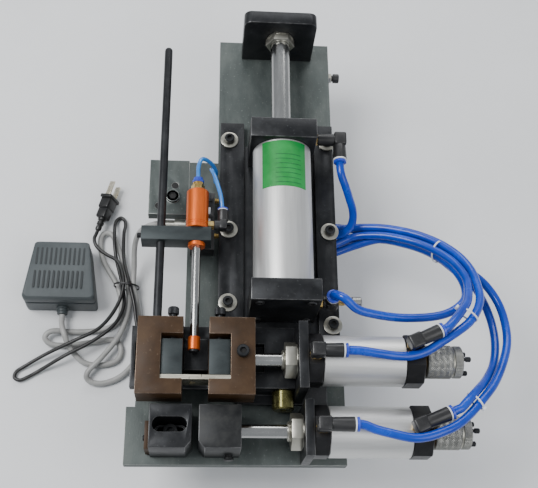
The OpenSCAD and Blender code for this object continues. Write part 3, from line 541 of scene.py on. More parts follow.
def make_plug():
    """Two-pin plug rolled on its side: flange, stepped body, ribbed sleeve and two flat pins."""
    bm = bmesh.new()
    turn = standing((-189.5, 38, 12.2), -16) @ Matrix.Rotation(math.radians(65), 4, "Y")
    lathe(bm, [(0, 3.0), (1, 3.4), (4, 3.4), (4.1, 2.6), (6.2, 2.6), (6.3, 3.8), (9.5, 3.9),
               (9.6, 2.9), (11.6, 2.9), (11.7, 4.3), (14, 4.5)],
          (0, -1, 0), Y, 24)
    block(bm, (-6.2, 13, -5.8), (6.2, 26, 5.8), 1.6, segments=3)
    block(bm, (-7.8, 24, -6.4), (7.8, 37, 6.4), 1.8, segments=3)
    block(bm, (-9.8, 36, -7.1), (9.8, 40, 7.1), 1.2, segments=3)
    for x in (-7.1, 5.6):
        block(bm, (x, 39, -3.2), (x + 1.5, 57, 3.2), 0.45, material=1)
    bmesh.ops.transform(bm, matrix=turn, verts=bm.verts)
    return add_piece("plug_body", bm, [BLACK_CORD, NICKEL], "base", "plug")


def make_power_cord(plug):
    cord, path = hose("power_cord_sheath", POWER_CORD_ROUTE, CORD_R, BLACK_CORD, 16)
    place(cord, "base", "power_cord")


make_pedal_cable()
make_power_cord(make_plug())


# Each large hose: its route, the CAD node it stands for and its body; only hoses on the base are attached
# to it, the carriage ones are left unattached
HOSES = {
    "main_rear_hose": (MAIN_REAR_ROUTE, "main_hoses", "carriage"),
    "main_front_hose": (MAIN_FRONT_ROUTE, "main_hoses", "carriage"),
    "blade_front_hose": (BLADE_FRONT_ROUTE, "blade_hoses", "carriage"),
    "blade_rear_hose": (BLADE_REAR_ROUTE, "blade_hoses", "carriage"),
    "clamp_front_hose": (CLAMP_FRONT_ROUTE, "clamp_hoses", "base"),
    "clamp_rear_hose": (CLAMP_REAR_ROUTE, "clamp_hoses", "base"),
}


def make_hoses():
    for name, (route, node, body) in HOSES.items():
        tube, path = hose(name, route, HOSE_R, BLUE_HOSE)
        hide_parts(node)
        if body == "carriage":
            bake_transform(tube)
        else:
            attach(tube, body)
    for name, route in (("stop_rear_hose", STOP_REAR_ROUTE), ("stop_side_hose", STOP_SIDE_ROUTE)):
        place(hose(name, route, THIN_R, THIN_HOSE, 16)[0], "wire_stop", "stop_hoses")


make_hoses()


# ---- structure: CAD nodes with worn, rounded edges ----

GREY_LOOK = [GREY_STEEL, WORN_GREY]
SHEET_LOOK = [SHEET, WORN_GREY]
BLACK_LOOK = [BLACK_STEEL, BLACK_EDGE]
ZINC_LOOK = [ZINC, ZINC]
PLASTIC_LOOK = [BLACK_PLASTIC, BLACK_PLASTIC]

# For each body: the CAD nodes that get rounded edges, how wide in mm, and their face and edge looks
ROUNDED_NODES = {
    "base": {
        "main_plate": (1.0, GREY_LOOK), "side_tab": (0.8, GREY_LOOK), "bottom_plate": (0.8, SHEET_LOOK),
        "side_wall_left": (0.5, SHEET_LOOK), "side_wall_right": (0.5, SHEET_LOOK),
        "end_walls": (0.5, SHEET_LOOK), "tail_plate": (0.9, BLACK_LOOK), "gib_left": (0.7, BLACK_LOOK),
        "gib_right": (0.7, BLACK_LOOK), "gib_washers": (0.3, ZINC_LOOK), "fixed_jaw": (0.8, BLACK_LOOK),
        "clamp_bracket": (0.6, BLACK_LOOK), "cable_gland": (0.5, [GLAND, GLAND]),
        "cord_grommet": (0.4, PLASTIC_LOOK), "stop_valve": (0.6, PLASTIC_LOOK), "rod_nut": (0.5, ZINC_LOOK),
        "valve_manifold": (0.5, [BARREL_Y, BARREL_Y]), "solenoid_valves": (0.6, PLASTIC_LOOK),
        "air_inlet": (0.4, PLASTIC_LOOK), "clamp_nut": (0.5, ZINC_LOOK),
    },
    "carriage": {
        "slide_plate": (0.5, BLACK_LOOK), "rear_block": (0.8, BLACK_LOOK), "front_block": (0.8, BLACK_LOOK),
        "head_beam": (0.6, BLACK_LOOK), "blade_bracket": (0.6, BLACK_LOOK), "blade_nut": (0.5, ZINC_LOOK),
    },
}


def refined(node, width, look, body):
    """A copy of a CAD node with its edges rounded by width mm; the rounded strips look worn."""
    bm = bmesh.new()
    bm.from_mesh(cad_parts[node].data)
    bmesh.ops.remove_doubles(bm, verts=bm.verts, dist=0.00002)
    bmesh.ops.dissolve_limit(bm, angle_limit=math.radians(1.0), verts=bm.verts, edges=bm.edges)
    for face in bm.faces:
        face.material_index = 0
    sharp = [e for e in bm.edges if len(e.link_faces) == 2 and e.calc_face_angle(0) > math.radians(35)]
    bmesh.ops.bevel(bm, geom=sharp, offset=width * MM, segments=2, affect="EDGES", profile=0.5,
                    material=1, clamp_overlap=True)
    add_piece(node + "_piece", bm, look, body, node, angle=30)


for body, nodes in ROUNDED_NODES.items():
    for node, (width, look) in nodes.items():
        refined(node, width, look, body)


# ---- small cylinders ----

KNURL_ROWS = 52
KNURL_SIDES = 192
THREAD_PITCH = 1.5
FRONT_CAP = 14  # thickness of the cap behind the bracket

# Rows of the rotation that takes +Z to +X, +X to +Y and +Y to +Z
ALONG_X = ((0, 0, 1), (1, 0, 0), (0, 1, 0))


def knurled(bm, x0, x1, y, z, radius, depth=0.55, pitch=1.9):
    """Adds a roller along +X covered in raised diamonds, with chamfered ends, in mm."""
    turns = round(2 * math.pi * radius / pitch)

    def diamonds(x):
        along = math.pi * (x - x0) / pitch

        def raised(a):
            lift = abs(math.sin(turns * a / 2 + along)) * abs(math.sin(turns * a / 2 - along))
            return radius - depth + depth * min(1.0, 1.5 * lift)
        return raised

    rows = [(x0, radius - 1.4), (x0 + 0.6, radius - depth)]
    for i in range(1, KNURL_ROWS):
        x = x0 + 0.6 + (x1 - x0 - 1.2) * i / KNURL_ROWS
        rows.append((x, diamonds(x)))
    rows += [(x1 - 0.6, radius - depth), (x1, radius - 1.4)]
    turned(bm, rows, matrix_at((0, y, z), ALONG_X), KNURL_SIDES)


def octagon_cap(bm, x0, x1, y, z):
    """Adds an eight-sided cylinder cap with chamfered rims and four small sunk screws."""
    corner = 24
    turn = placed_along((0, y, z), X) @ Matrix.Rotation(math.radians(22.5), 4, "Z")
    turned(bm, [(x0, corner - 1.2), (x0 + 0.9, corner), (x1 - 0.9, corner), (x1, corner - 1.2)], turn, 8)
    for k in range(4):
        a = math.radians(45 + 90 * k)
        for end, way in ((x0, -1), (x1, 1)):
            at = (end, y + 17.5 * math.cos(a), z + 17.5 * math.sin(a))
            lathe(bm, [(-0.4, 2.3), (0.15, 2.3), (0.35, 2.0)], at, (way, 0, 0), 16, 1)


def small_cylinder(name, static_body, moving_body, rod_left, rod_right, port):
    """Barrel, caps, rod and stroke knob of the blade or clamp cylinder."""
    centre = middle(name + "_barrel") / MM
    y, z = centre.y, centre.z
    axis_at = (0, y, z)
    b0, b1 = span(name + "_barrel", 0)
    caps0, caps1 = span(name + "_caps", 0)
    k0, k1 = span(name + "_knob", 0)
    front0 = b0 - FRONT_CAP
    bottom, top = span(name + "_barrel", 2)
    radius = (top - bottom) / 2

    bm = bmesh.new()
    lathe(bm, [(b0, radius - 0.5), (b0 + 0.5, radius), (b1 - 0.5, radius), (b1, radius - 0.5)],
          axis_at, X, 72)
    add_piece(name + "_barrel_tube", bm, [BARREL_X], static_body, name + "_barrel")

    bm = bmesh.new()
    octagon_cap(bm, front0, b0 - 0.05, y, z)
    octagon_cap(bm, b1 + 0.05, caps1 - 3, y, z)
    lathe(bm, [(14, 7), (21.6, 7), (22.2, 6.4)], (b1 + 6.5, y + port, z), Z, 32)
    thread = [(caps0, 8.2)]
    for k in range(int((front0 - caps0) / THREAD_PITCH)):
        x = caps0 + 0.4 + THREAD_PITCH * k
        thread += [(x, 8.3), (x + 0.6, 9.0), (x + 1.0, 9.0)]
    lathe_all(bm, axis_at, X, [
        (thread + [(front0 + 1, 8.4)], 40, 1),
        ([(caps1 - 3.2, 8.8), (caps1, 9.0)], 40, 2),
        ([(caps1 - 3, 12.8), (caps1 - 2.6, 13.2), (caps1 - 0.9, 13.2), (caps1 - 0.5, 12.8)], 48, 2)])
    add_piece(name + "_cap_set", bm, [BLACK_CAP, ZINC, BRASS], static_body, name + "_caps")

    bm = bmesh.new()
    lathe(bm, [(rod_left, 5.4), (rod_left + 0.6, 6), (rod_right - 0.8, 6), (rod_right, 5.2)],
          axis_at, X, 40)
    add_piece(name + "_rod_bar", bm, [CHROME_X], moving_body, name + "_rod")

    bm = bmesh.new()
    knurled(bm, k0 + 0.1, k0 + 24, y, z, 15)
    lathe(bm, [(k0 + 23.8, 13.4), (k0 + 25.2, 13.4)], axis_at, X, 48, 1)
    knurled(bm, k0 + 25, k1 - 7, y, z, 14.5, 0.5, 1.7)
    for a in (90, 210, 330):
        at = (k1 - 4.8, y + 10 * math.cos(math.radians(a)), z + 10 * math.sin(math.radians(a)))
        socket_screw(bm, at, X, 2.4, 4.6, 3, 1.5, 2, 3)
    add_piece(name + "_stroke_knob", bm, [KNURL, ZINC, BLACK_STEEL, RECESS_SHADE], name + "_knob",
              name + "_knob")


small_cylinder("blade", "carriage", "right_blade_holder", -27.5, 150, 9)
small_cylinder("clamp", "base", "moving_jaw", -50, 156, 0)


# ---- push-in elbows ----


def elbow_mesh(bm, matrix, leg, stem=11.0, radius=6.3):
    """Adds a push-in elbow: brass hexagon, black stem and corner, leg along +X, blue release ring.
    Materials: 0 black, 1 brass, 2 blue, 3 pale ring."""
    part = bmesh.new()
    lathe_all(part, (0, 0, 0), Z, [
        ([(0, 6.0), (0.4, 6.4), (3.4, 6.4), (3.8, 6.0)], 6, 1),
        ([(3.8, 5.4), (4.4, 6.0), (stem - 3, 6.1)], 28, 0),
        ([(stem + radius - 0.3, 2.6), (stem + radius + 0.25, 2.4)], 6, 0)])
    block(part, (-radius, -radius, stem - 5.5), (radius, radius, stem + radius), 1.8, segments=3)
    lathe_all(part, (0, 0, stem), X, [
        ([(radius - 1, radius - 0.8), (radius + 1, radius - 0.3), (leg - 6, radius),
          (leg - 1, radius + 0.15), (leg - 0.6, radius - 0.2)], 32, 0),
        ([(leg - 0.8, radius - 0.3), (leg - 0.3, radius), (leg + 0.5, radius),
          (leg + 0.8, radius - 0.4)], 32, 3),
        ([(leg + 0.6, 5.4), (leg + 1.4, 5.4), (leg + 1.6, 6.3), (leg + 3.2, 6.4), (leg + 3.6, 5.9),
          (leg + 3.7, 4.6)], 32, 2)])
    add_part(bm, part, matrix)


ELBOW_LOOKS = [BLACK_PLASTIC, BRASS, BLUE_RING, WHITE, KNURL]
PORT_Y = -84.2
CAP_TOP = 22.3  # height of the small cylinders' port face over their axis


def make_elbows():
    blade = middle("blade_barrel") / MM
    clamp = middle("clamp_barrel") / MM
    side_x = high("rear_block").x / MM
    axis_z = middle("main_barrel").z / MM
    bm = bmesh.new()
    elbow_mesh(bm, standing((25.5, blade.y, blade.z + CAP_TOP), 0), 22.3)
    elbow_mesh(bm, standing((111, blade.y + 9, blade.z + CAP_TOP), 24), 24.3)
    # On the right faces of the end blocks: stems along +X, the rear leg to the front, the front leg up
    elbow_mesh(bm, matrix_at((side_x, 88, axis_z), ((0, 0, 1), (-1, 0, 0), (0, -1, 0))), 22.3, 26, 6.8)
    elbow_mesh(bm, matrix_at((side_x, PORT_Y, axis_z), ((0, 0, 1), (0, -1, 0), (1, 0, 0))), 13.3, 12)
    lathe_all(bm, (side_x, PORT_Y, axis_z), X, [
        ([(17, 3), (24, 3), (24.5, 2.6), (31.2, 2.6)], 24, 1),
        ([(31, 4.9), (31.6, 5.5), (39.2, 5.5), (40, 4.8)], 22, 4)])
    add_piece("carriage_elbow_set", bm, ELBOW_LOOKS, "carriage", "carriage_elbows")

    bm = bmesh.new()
    elbow_mesh(bm, standing((31, clamp.y, clamp.z + CAP_TOP), 0), 26.3)
    elbow_mesh(bm, standing((114, clamp.y, clamp.z + CAP_TOP), 22), 27.3)
    add_piece("clamp_elbow_set", bm, ELBOW_LOOKS, "base", "clamp_elbows")


make_elbows()


# ---- main cylinder ----


def make_main_cylinder():
    centre = middle("main_barrel") / MM
    y0, y1 = span("main_barrel", 1)
    bottom, top = span("main_barrel", 2)
    radius = (top - bottom) / 2
    bm = bmesh.new()
    lathe(bm, [(y0, radius - 0.6), (y0 + 0.6, radius), (y1 - 0.6, radius), (y1, radius - 0.6)],
          (centre.x, 0, centre.z), Y, 96)
    add_piece("main_barrel_tube", bm, [BARREL_Y], "carriage", "main_barrel")

    # A plain green plate wrapped on the barrel, with ruled lines and no lettering
    bm = bmesh.new()
    wrapped(bm, centre, radius + 0.15, -46, 46, y1 - 51, y1 - 2, 0)
    line_gap, line_width = 5, 0.5
    for k in range(7):
        line_y = y1 - 17 - line_gap * k
        wrapped(bm, centre, radius + 0.22, -17, 34, line_y, line_y + line_width, 1)
    add_piece("green_plate", bm, [GREEN, LABEL_INK], "carriage", angle=60)

    # Tie screws of the end blocks
    bm = bmesh.new()
    for node, way in (("rear_block", 1), ("front_block", -1)):
        face = (high(node).y if way > 0 else low(node).y) / MM
        for sx in (-1, 1):
            for sz in (-1, 1):
                at = (centre.x + sx * 23.5, face - way * 1.2, centre.z + sz * 23.5)
                socket_screw(bm, at, (0, way, 0), 4.2, 2.4, material=0, dark=1)
    add_piece("tie_screws", bm, [BLACK_EDGE, RECESS_SHADE], "carriage")


def wrapped(bm, centre, radius, a0, a1, y0, y1, material):
    """Adds a thin closed plate that follows the barrel from angle a0 to a1 (degrees from +Z to +X)."""
    steps, thick = 24, 0.18
    inner = radius - thick
    rings = []
    for k in range(steps + 1):
        a = math.radians(a0 + (a1 - a0) * k / steps)
        rings.append(ring_of(bm, [
            (centre.x + r * math.sin(a), y, centre.z + r * math.cos(a))
            for r, y in ((radius, y0), (inner, y0), (inner, y1), (radius, y1))]))
    skin(bm, rings, material)


make_main_cylinder()


# ---- bolts on the slideway ----

GIB_BOLT_SPOTS = ((-51, 99.5), (-51, -1), (-51, -77), (49, 99.5), (49, -1), (49, -98))


def make_gib_bolts():
    bm = bmesh.new()
    top = high("gib_washers").z / MM
    for x, y in GIB_BOLT_SPOTS:
        socket_screw(bm, (x, y, top), Z, 5, 5.5, 12, 2.4, 0, 1)
    add_piece("gib_bolt_set", bm, [BLACK_STEEL, RECESS_SHADE], "base", "gib_bolts")


make_gib_bolts()


# ---- blade head ----


def prism(bm, outline, z0, z1, bevel):
    """Adds an upright prism over a flat outline in mm, its rounded edges in the second material."""
    faces = skin(bm, [ring_of(bm, [(x, y, z) for x, y in outline]) for z in (z0, z1)])
    bmesh.ops.recalc_face_normals(bm, faces=faces)
    edges = list({e for f in faces for e in f.edges})
    bmesh.ops.bevel(bm, geom=edges, offset=bevel * MM, segments=2, affect="EDGES", profile=0.5, material=1)


BLOCK_Z0, BLOCK_Z1 = 125.2, 155.2
BLOCK_Y0, BLOCK_Y1 = -177, -107.5
NOTCH_Y0, NOTCH_Y1 = -163.4, -123
BLADE_Z = 140


def blade_block(name, outer, inner, notch, body):
    """Brown C-shaped block with its dark pressure block, press screw and rack."""
    right = outer > inner
    bm = bmesh.new()
    outline = [(outer, BLOCK_Y0), (inner, BLOCK_Y0), (inner, NOTCH_Y0), (notch, NOTCH_Y0),
               (notch, NOTCH_Y1), (inner, NOTCH_Y1), (inner, BLOCK_Y1), (outer, BLOCK_Y1)]
    prism(bm, outline, BLOCK_Z0, BLOCK_Z1, 0.45)
    lo, hi = min(inner, notch), max(inner, notch)
    block(bm, (lo - 0.3, NOTCH_Y0 - 1, BLOCK_Z0 + 0.05), (hi - 0.05, NOTCH_Y1 + 1, BLOCK_Z0 + 5), 0)
    block(bm, (lo + 0.1, NOTCH_Y0 + 4.25, BLOCK_Z0 + 5), (hi - 0.1, NOTCH_Y1 - 4, BLOCK_Z1 - 3), 0.5, 2)
    screw_x = (lo + hi) / 2
    lathe(bm, [(0, 3), (30, 3)], (screw_x, NOTCH_Y1 - 8.5, BLADE_Z), Y, 20, 3)
    knurled_head(bm, (screw_x, BLOCK_Y1 + 6, BLADE_Z), 5, 7)
    if right:
        socket_screw(bm, (-38.5, -139, BLOCK_Z1), Z, 5.5, 5, material=3, dark=4)
        rack_bm = bmesh.new()
        make_rack(rack_bm, (-97, -33), (-64, -33), -1)
    else:
        make_rack(bm, (-119, -62), (-119, -95), 1)
    add_piece(name + "_piece", bm, [BRONZE, BRONZE_EDGE, BLUED, BLACK_STEEL, RECESS_SHADE], body, name,
              angle=30)
    if right:
        add_piece("right_rack_piece", rack_bm, [BRONZE, BRONZE_EDGE, BLUED], body, "right_rack",
                  angle=30)


def knurled_head(bm, at, radius, height):
    """Socket screw head along +Y with straight grip ridges round its side."""
    ridges, ridge_depth = 30, 0.28

    def ridged(a):
        return radius - ridge_depth * (round(a * ridges / math.pi) % 2)

    profile = [(0, 4.4), (0.5, ridged), (height - 0.9, ridged), (height, radius - 0.8)]
    # The socket floor takes material 4, the painted recess shade.
    turned(bm, profile + socket(height, 2.8), placed_along(at, Y), 2 * ridges, 3, 4)


PINION_X, PINION_Y = -79.5, -136
RACK_Z = 116.8
RACK_PITCH = math.pi
PRESSURE_ANGLE = math.radians(20)


def make_rack(bm, bar_x, foot_x, side):
    """Blued rack bar under a blade block, on one side of the pinion, with the CAD rack's teeth."""
    blued = 2
    bar = sorted((PINION_Y + side * 9.1, PINION_Y + side * 12.5))
    block(bm, (bar_x[0], bar[0], RACK_Z), (bar_x[1], bar[1], RACK_Z + 7), 0.2, blued)
    block(bm, (foot_x[0], bar[0], RACK_Z + 6.9), (foot_x[1], bar[1], BLOCK_Z0 + 0.2), 0, blued)
    slope = math.tan(PRESSURE_ANGLE)
    half = RACK_PITCH / 4 - 0.075
    root_w, tip_w = half + 1.2 * slope, half - 0.9 * slope
    y_root, y_tip = PINION_Y + side * 9.2, PINION_Y + side * 7.1
    first = math.ceil((bar_x[0] + 3 - PINION_X) / RACK_PITCH - 0.5)
    last = math.floor((bar_x[1] - 3 - PINION_X) / RACK_PITCH - 0.5)
    for n in range(first, last + 1):
        x = PINION_X + (n + 0.5) * RACK_PITCH
        tooth = [(x - root_w, y_root), (x + root_w, y_root), (x + tip_w, y_tip), (x - tip_w, y_tip)]
        skin(bm, [ring_of(bm, [(px, py, z) for px, py in tooth]) for z in (RACK_Z, RACK_Z + 6)], blued)


blade_block("left_blade_block", -131, -91, -110, "left_blade_holder")
blade_block("right_blade_block", -27.5, -68, -49, "right_blade_holder")


# ---- clamping jaws ----

PLATE_TOP = 96
JAW_Z0 = PLATE_TOP + 0.1


def make_moving_jaw():
    bm = bmesh.new()
    outline = [(-75.6, -183), (-38.8, -183), (-38.8, -220.5), (-70, -220.5), (-75.6, -214.5)]
    prism(bm, outline, JAW_Z0, 144, 0.6)
    lathe(bm, [(-1, 3.4), (1.5, 3.4), (2, 4.4), (4.2, 4.4), (5, 3.6)], (-48.7, -220.5, 110), (0, -1, 0), 28)
    add_piece("moving_jaw_piece", bm, [BLACK_JAW, BLACK_EDGE], "moving_jaw", "moving_jaw",
              angle=30)


make_moving_jaw()


def make_side_bar():
    """Brown bar screwed to the left side of the fixed jaw."""
    left = -122.6
    bm = bmesh.new()
    block(bm, (left, -218, JAW_Z0), (-118, -193.5, 124), 0.4)
    lathe(bm, [(-0.5, 2.6), (1.6, 2.6), (2, 2.2)], (left, -206, 110), (-1, 0, 0), 24, 1)
    add_piece("jaw_side_bar", bm, [BRONZE, BLACK_STEEL], "base")


make_side_bar()


# ---- wire stop ----

STOP_X, STOP_Z = -81.5, 140


def make_stop():
    bm = bmesh.new()
    block(bm, (-133, -31, STOP_Z - 12), (-68, -17, STOP_Z + 8), 0.7)
    lathe(bm, [(-0.5, 2.5), (3.5, 2.5), (4, 2.1)], (-133, -24, STOP_Z), (-1, 0, 0), 20, 1)
    add_piece("stop_bracket_piece", bm, [BLUED, BLACK_STEEL], "wire_stop", "stop_bracket",
              angle=30)

    bm = bmesh.new()
    lathe_all(bm, (STOP_X, -17, STOP_Z), Y, [
        ([(0.02, 10.1), (0.5, 10.5), (3.4, 10.5), (3.6, 10.2), (4.1, 10.2), (4.3, 10.5), (5.6, 10.5),
          (5.8, 10.2), (6.2, 10.2), (6.4, 10.5), (38.6, 10.5), (39.9, 9.3)], 64, 0),
        ([(-18, 7.6), (-17.4, 8), (-14.4, 8), (-14.02, 7.7)], 48, 0),
        ([(-14.1, 5.9), (0.1, 5.9)], 32, 0),
        ([(39.8, 6.2), (40.2, 6.5), (45.5, 6.5), (46.2, 5.9)], 6, 1),
        ([(46.0, 5.3), (48.8, 5.3), (49, 5.0)], 32, 1),
        ([(48.9, 5.0), (49.4, 5.5), (51.2, 5.5), (51.8, 4.6), (54, 4.4), (54.2, 3.2)], 32, 2)])
    thin_elbow(bm, matrix_at((STOP_X + 10, -12, STOP_Z), ALONG_X))
    add_piece("stop_body_piece", bm, [ORANGE, BRASS, BLUE_RING, BLACK_PLASTIC, WHITE], "wire_stop",
              "stop_body", angle=30)

    bm = bmesh.new()
    lathe_all(bm, (STOP_X, 0, STOP_Z), Y, [
        ([(-122, 3.8), (-121.8, 4), (-7, 4)], 32, 0),
        ([(-134, 5.2), (-133.6, 5.5), (-122.4, 5.5), (-122, 5.1)], 48, 1),
        ([(-136, 4.2), (-135.7, 4.5), (-134, 4.5)], 40, 2)])
    add_piece("stop_rod_piece", bm, [CHROME, ORANGE, BLACK_STEEL], "stop_rod", "stop_rod",
              angle=30)


def thin_elbow(bm, matrix):
    """Small elbow: brass hexagon stem along local +Z, black corner, leg along local +X."""
    part = bmesh.new()
    lathe_all(part, (0, 0, 0), Z, [
        ([(0, 3.6), (0.3, 4.4), (5.6, 4.4), (6, 4.0)], 6, 1),
        ([(5.9, 4.2), (6.4, 4.8), (12, 5)], 28, 3)])
    block(part, (-4.9, -4.9, 10.5), (4.9, 4.9, 18), 1.5, 3, segments=3)
    lathe_all(part, (0, 0, 14), X, [
        ([(4, 4.5), (5, 5), (15, 5), (15.4, 4.7)], 28, 3),
        ([(15.2, 4.6), (16.2, 4.6)], 28, 4),
        ([(16.1, 4.0), (16.4, 5.0), (17.4, 5.0), (17.8, 4.2), (18, 3.0)], 28, 2)])
    add_part(bm, part, matrix)


make_stop()


# ---- foot switch ----

PEDAL_FRONT, PEDAL_REAR = (-259, -184), (-252, -195)
PEDAL_Y0, PEDAL_Y1 = -52, 16


def pedal_outline(inset):
    """Plan of the foot switch with rounded corners, in mm, moved inwards by inset."""
    raw = [(PEDAL_FRONT[0] + inset, PEDAL_Y0 + inset), (PEDAL_FRONT[1] - inset, PEDAL_Y0 + inset),
           (PEDAL_REAR[1] - inset, PEDAL_Y1 - inset), (PEDAL_REAR[0] + inset, PEDAL_Y1 - inset)]
    corner, steps = 5, 5
    out = []
    for k, point in enumerate(raw):
        before, here, after = Vector(raw[k - 1]), Vector(point), Vector(raw[(k + 1) % 4])
        a = here + (before - here).normalized() * corner
        b = here + (after - here).normalized() * corner
        for i in range(steps + 1):
            t = i / steps
            out.append((1 - t)**2 * a + 2 * t * (1 - t) * here + t**2 * b)
    return out


def pedal_top(y):
    """Height of the treadle's sloping face at y, in mm, rolled off at both ends."""
    slope0, slope1 = PEDAL_Y0 + 5, PEDAL_Y1 - 4
    if y < slope0:
        return 34.5 + 5 * math.sin(math.pi / 2 * (y - PEDAL_Y0) / 5)
    if y > slope1:
        return 31.7 - 3.6 * (1 - math.cos(math.pi / 2 * (y - slope1) / 4))
    return 39.6 - 8 * (y - slope0) / (slope1 - slope0)


def shell(bm, layers):
    """Adds a closed solid through stacked outlines; layers are (inset, height or function of y)."""
    rings = []
    for inset, height in layers:
        rings.append(ring_of(bm, [(p.x, p.y, height(p.y) if callable(height) else height)
                                  for p in pedal_outline(inset)]))
    skin(bm, rings)


def make_pedal():
    bm = bmesh.new()
    shell(bm, [(1.0, 0.05), (0.2, 0.8), (0.1, 10), (0.4, 21.4), (1.0, 22), (2.8, 22), (3.0, 18)])
    for x in (-246, -199):
        for y in (-42, 4):
            lathe(bm, [(0.03, 4.5), (0.6, 5)], (x, y, 0), Z, 20, 1)
    add_piece("pedal_base_shell", bm, [PEDAL, BLACK_PLASTIC], "base", "pedal_base",
              angle=40)

    bm = bmesh.new()
    lathe(bm, [(0, 6.2), (0.8, 6.5), (2.4, 6.5), (2.8, 5.6), (3.6, 5.6), (4, 6.0), (5.2, 6.0), (5.6, 5.2),
               (6.4, 5.2), (6.8, 5.5), (7.8, 5.4), (8.3, 4.4)], (-220, PEDAL_Y0 + 0.5, 11), (0, -1, 0), 32)
    add_piece("pedal_cable_relief", bm, [PEDAL], "base", angle=40)

    bm = bmesh.new()
    shell(bm, [(3.6, 22.5), (3.5, 25.4)])
    shell(bm, [(1.0, 25.1), (0.3, 25.9), (0.3, lambda y: max(pedal_top(y) - 2.6, 26.3)),
               (0.9, lambda y: max(pedal_top(y) - 0.9, 26.8)), (2.4, lambda y: max(pedal_top(y), 27.2))])
    for row in (-40, -13):
        for n in range(11):
            groove_shade_pad(bm, -247.5 + 4.8 * n, row, row + 20)
    add_piece("pedal_treadle_top", bm, [PEDAL, PAINTED_GROOVE_SHADE], "pedal_treadle", "pedal_treadle")


def groove_shade_pad(bm, x, y0, y1):
    """Adds a dark pad of painted shade in place of one grip groove, rounded at both ends, just proud of the
    face.
    """
    points = []
    steps = 12
    for half_turn, y in ((0, y1 - 1), (math.pi, y0 + 1)):
        for k in range(steps + 1):
            a = half_turn + math.pi * k / steps
            points.append((x + math.cos(a), y + math.sin(a)))
    skin(bm, [ring_of(bm, [(px, py, pedal_top(py) + lift) for px, py in points])
              for lift in (-0.6, 0.03)], 1)


make_pedal()


# ---- small parts ----


def make_tab_screw():
    """Low black screw with painted shade in its socket, and dark discs of painted shade standing for the
    open holes on the side tab.
    """
    at = (-107, 38, PLATE_TOP)
    bm = bmesh.new()
    socket_screw(bm, at, Z, 6.5, 4, material=0, dark=1)
    lathe(bm, [(-1, 3.6), (3.2, 3.6)], at, Z, 20, 1)
    for x, y in ((-105, 51), (-121, 28)):
        lathe(bm, [(-1, 3.4), (0.05, 3.4)], (x, y, PLATE_TOP), Z, 24, 1)
    add_piece("tab_screw", bm, [BLACK_STEEL, RECESS_SHADE], "base")


def make_rear_fitting():
    """Small black plug with a light nut on the right face of the main plate's rear."""
    bm = bmesh.new()
    lathe_all(bm, (56, 190, 90), X, [
        ([(-0.5, 5.6), (2.6, 5.6), (3.2, 5.2)], 6, 1),
        ([(3.1, 3.4), (5, 3.4), (5.4, 5.0), (11, 5.0), (11.6, 4.4)], 28, 0)])
    add_piece("rear_side_plug", bm, [BLACK_PLASTIC, ZINC], "base")


make_tab_screw()
make_rear_fitting()


def tie_band(name, centre, along, half_width, half_height, material, route=None, lock_angle=90):
    """Cable tie: an oval band round a bundle, square to it, with its small lock block. Given a hose's route
    it is left unattached; with none it is attached to the base."""
    centre = Vector(centre) * MM
    along = Vector(along).normalized()
    side = along.cross(Vector((0, 0, 1))).normalized()
    up = side.cross(along)

    def on_oval(a, lift=0):
        return side * math.cos(a) * (half_width + lift) + up * math.sin(a) * (half_height + lift)

    half, thick = 0.85, 0.6
    bm = bmesh.new()
    rings = []
    for lift, shift in ((0, -half), (0, half), (thick, half), (thick, -half)):
        rings.append([bm.verts.new(centre + (on_oval(a, lift) + along * shift) * MM)
                      for a in ring_angles(48)])
    join_rings(bm, rings + rings[:1])
    a = math.radians(lock_angle)
    out = (side * math.cos(a) + up * math.sin(a)).normalized()
    turn = Matrix((out.cross(along), out, along)).transposed().to_4x4()
    lock = Matrix.Translation(centre + on_oval(a) * MM) @ turn
    block(bm, (-1.8, 0.1, -1.9), (1.8, 2.4, 1.9), 0.4, turn=lock)
    band = finish_mesh(name, bm, [material], 40)
    if route:
        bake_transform(band)
    else:
        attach(band, "base")


tie_band("white_tie_upper", (158, -18, 102.5), (26, -28, 18), 9.0, 13.4, WHITE, BLADE_FRONT_ROUTE, 150)
tie_band("white_tie_lower", (163, -103, 160.5), (-10, -14.5, 7), 10.0, 4.6, WHITE, BLADE_FRONT_ROUTE, 5)
tie_band("white_tie_clamp", (165.5, -179.5, 151), (-15.5, -14, 6), 8.9, 4.7, WHITE, lock_angle=170)
tie_band("black_bundle_tie", (-155.5, -27, 10.6), (0.1, 1, 0), 13.2, 10.4, BLACK_PLASTIC, lock_angle=80)


def make_bumper():
    """Olive buffer on the front of the head beam."""
    bm = bmesh.new()
    lathe(bm, [(-0.5, 9.2), (0.4, 10), (15.5, 10), (17, 8.8), (17, 3), (16, 2.9)],
          (0, -164, 112), (0, -1, 0))
    add_piece("front_buffer", bm, [OLIVE], "carriage")


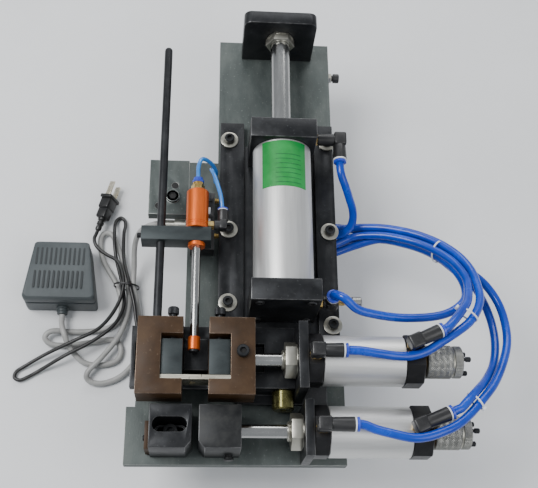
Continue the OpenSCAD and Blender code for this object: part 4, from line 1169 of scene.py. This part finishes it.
def make_valve_trim():
    """Brass ports and the pale strip of the small valve block."""
    bm = bmesh.new()
    for y in (-8, 30):
        lathe(bm, [(0, 2.9), (1.8, 3), (2.2, 2.4), (4.4, 2.4), (4.8, 1.9)], (-65.2, y, 106), X, 6)
    block(bm, (-71.5, 4, 111.4), (-69, 20, 112.15), 0.2, 1)
    add_piece("stop_valve_trim", bm, [BRASS, WHITE], "base")


make_bumper()
make_valve_trim()


def repaint(node, material):
    """Gives a CAD node that keeps its shape its material."""
    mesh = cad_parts[node].data
    mesh.materials.clear()
    mesh.materials.append(material)
    for face in mesh.polygons:
        face.material_index = 0


KEPT_NODES = {
    "main_rod": CHROME, "pinion": ZINC, "guide_rod": BLACK_STEEL, "jaw_bolt": BLACK_STEEL,
    "left_blade": BLADE, "right_blade": BLADE,
}
for node, material in KEPT_NODES.items():
    repaint(node, material)


# ---- floor and light ----


def make_stage():
    mesh = bpy.data.meshes.new("floor")
    size = 6
    corners = [(-size, -size, 0), (size, -size, 0), (size, size, 0), (-size, size, 0)]
    mesh.from_pydata(corners, [], [(0, 1, 2, 3)])
    floor_look = surface("pale_floor", [(.70, .71, .72), (.73, .74, .75), (.76, .77, .78)],
                         0.6, 0.0, 3, bump=0.0)
    floor = new_object("floor", mesh, [floor_look])
    floor.location.z = -0.0004


LIGHT_TARGET = Vector((0, 0, 0.1))


def area_light(name, at, size, power):
    """Soft white rectangle that faces the object; place and size in metres, power in watts."""
    data = bpy.data.lights.new(name, "AREA")
    data.shape = "RECTANGLE"
    data.size, data.size_y = size
    data.energy = power
    lamp = bpy.data.objects.new(name, data)
    bpy.context.scene.collection.objects.link(lamp)
    lamp.location = at
    lamp.rotation_euler = (LIGHT_TARGET - Vector(at)).to_track_quat("-Z", "Y").to_euler()


def make_lights():
    """Pale even sky and three soft lights."""
    world = bpy.data.worlds.new("world")
    world.use_nodes = True
    sky = world.node_tree.nodes["Background"].inputs
    sky["Color"].default_value = (0.86, 0.9, 0.95, 1)
    sky["Strength"].default_value = 0.55
    bpy.context.scene.world = world
    area_light("key", (-0.9, 0.1, 1.5), (0.8, 0.8), 26)
    area_light("fill", (0.9, -0.7, 1.3), (1.0, 1.0), 9)
    area_light("back", (0.2, 1.3, 0.9), (1.4, 0.5), 10)


make_stage()
make_lights()
